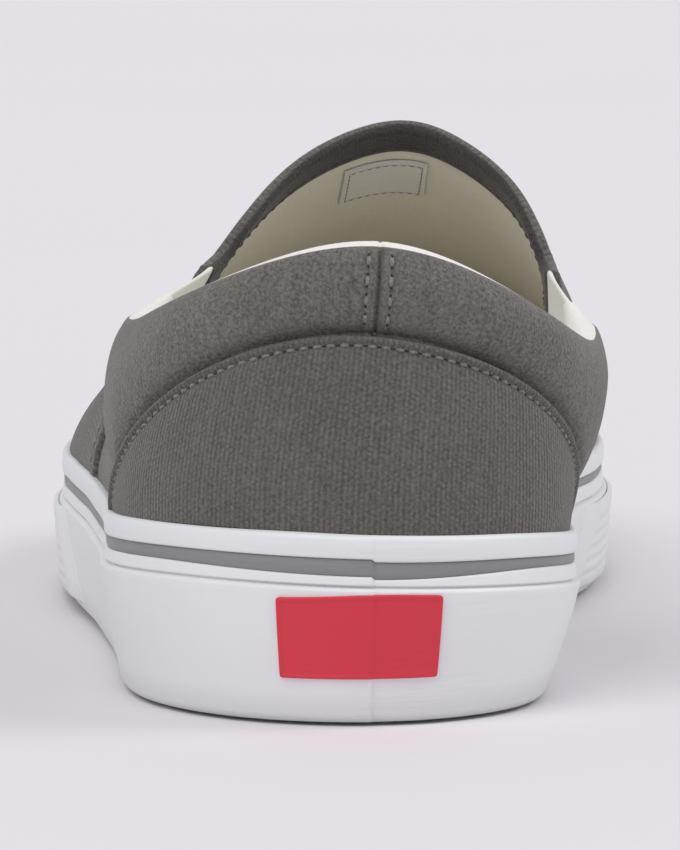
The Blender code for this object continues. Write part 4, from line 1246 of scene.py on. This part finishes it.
def build_tag():
    """A blank woven tag sewn to the lining inside the throat."""
    u, depths = np.linspace(-0.0090, 0.0090, 19), np.linspace(0.0112, 0.0258, 13)
    spots = np.linspace(0.40, 0.60, 200)
    under, up = [], []
    for depth in depths:
        length = run_along(on_skin(spots, depth)[0], 0)
        here = np.interp(u, length - np.interp(TAG_PLACE, spots, length), spots)
        points, normals = on_skin(here, depth)
        under.append(points - normals * (CANVAS_WALL - TAG_SINK))
        up.append(-normals)
    under, up = np.array(under), np.array(up)
    top = under + up * TAG_THICKNESS
    flat = np.stack(np.meshgrid(u, depths), axis=-1)
    add_piece(sheet_solid("blank_woven_tag", under, top, flat, tag_cloth), "footbed_cloth")
    h, w = top.shape[:2]
    loop = [(1, c) for c in range(1, w - 1)] + [(r, w - 2) for r in range(2, h - 1)]
    loop += [(h - 2, c) for c in range(w - 3, 0, -1)] + [(r, 1) for r in range(h - 3, 0, -1)]
    r, c = np.array(loop).T
    sew("tag_stitches", top[r, c], up[r, c], tag_thread, "footbed_cloth", 0.0011, 0.0016, 0.00016)


def dress_outsole():
    """The part's own outsole is kept, with a rubber material."""
    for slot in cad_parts["outsole"].material_slots:
        slot.material = sole_rubber


# Stage


def link(made):
    bpy.context.scene.collection.objects.link(made)
    return made


def build_stage():
    mesh = bpy.data.meshes.new("floor")
    size = 9.0
    mesh.from_pydata([(-size, -size, 0), (size, -size, 0), (size, size, 0), (-size, size, 0)], [], [(0, 1, 2, 3)])
    mesh.materials.append(floor_look("pale floor", (0.775, 0.760, 0.785)))
    link(bpy.data.objects.new("floor", mesh))
    world = bpy.data.worlds.new("studio")
    bpy.context.scene.world = world
    world.use_nodes = True
    background = world.node_tree.nodes["Background"]
    background.inputs["Color"].default_value = (0.90, 0.89, 0.92, 1.0)
    background.inputs["Strength"].default_value = 0.62
    for name, toward, angle, power in (
        ("key light", (-0.60, -1.00, 1.45), 44.0, 1.15),
        ("second light", (1.00, 0.05, 1.00), 28.0, 0.82),
    ):
        light = bpy.data.lights.new(name, "SUN")
        light.angle = math.radians(angle)
        light.energy = power
        lamp = link(bpy.data.objects.new(name, light))
        lamp.location = toward
        lamp.rotation_euler = (-Vector(toward)).to_track_quat("-Z", "Y").to_euler()


def build_camera():
    """The photograph's viewpoint, 1.09 m behind the heel, turned to centre the one shoe."""
    data = bpy.data.cameras.new("camera")
    data.sensor_width = 36.0
    data.lens = 280.0
    data.clip_start = 0.05
    data.clip_end = 60.0
    camera = link(bpy.data.objects.new("camera", data))
    camera.location = (CENTRE[0], CENTRE[1] - 1.090, 0.165)
    pitch = math.radians(5.97)
    camera.rotation_euler = Vector((0.0, math.cos(pitch), -math.sin(pitch))).to_track_quat("-Z", "Y").to_euler()
    bpy.context.scene.camera = camera
    bpy.context.scene.view_settings.view_transform = "Standard"


build_camera()
build_stage()
build_vamp()
build_quarters()
build_gore("lateral", LATERAL_GORE)
build_gore("medial", MEDIAL_GORE)
build_counter()
build_foxing()
build_stripe()
build_bumper()
build_label()
build_insole()
build_tag()
dress_outsole()
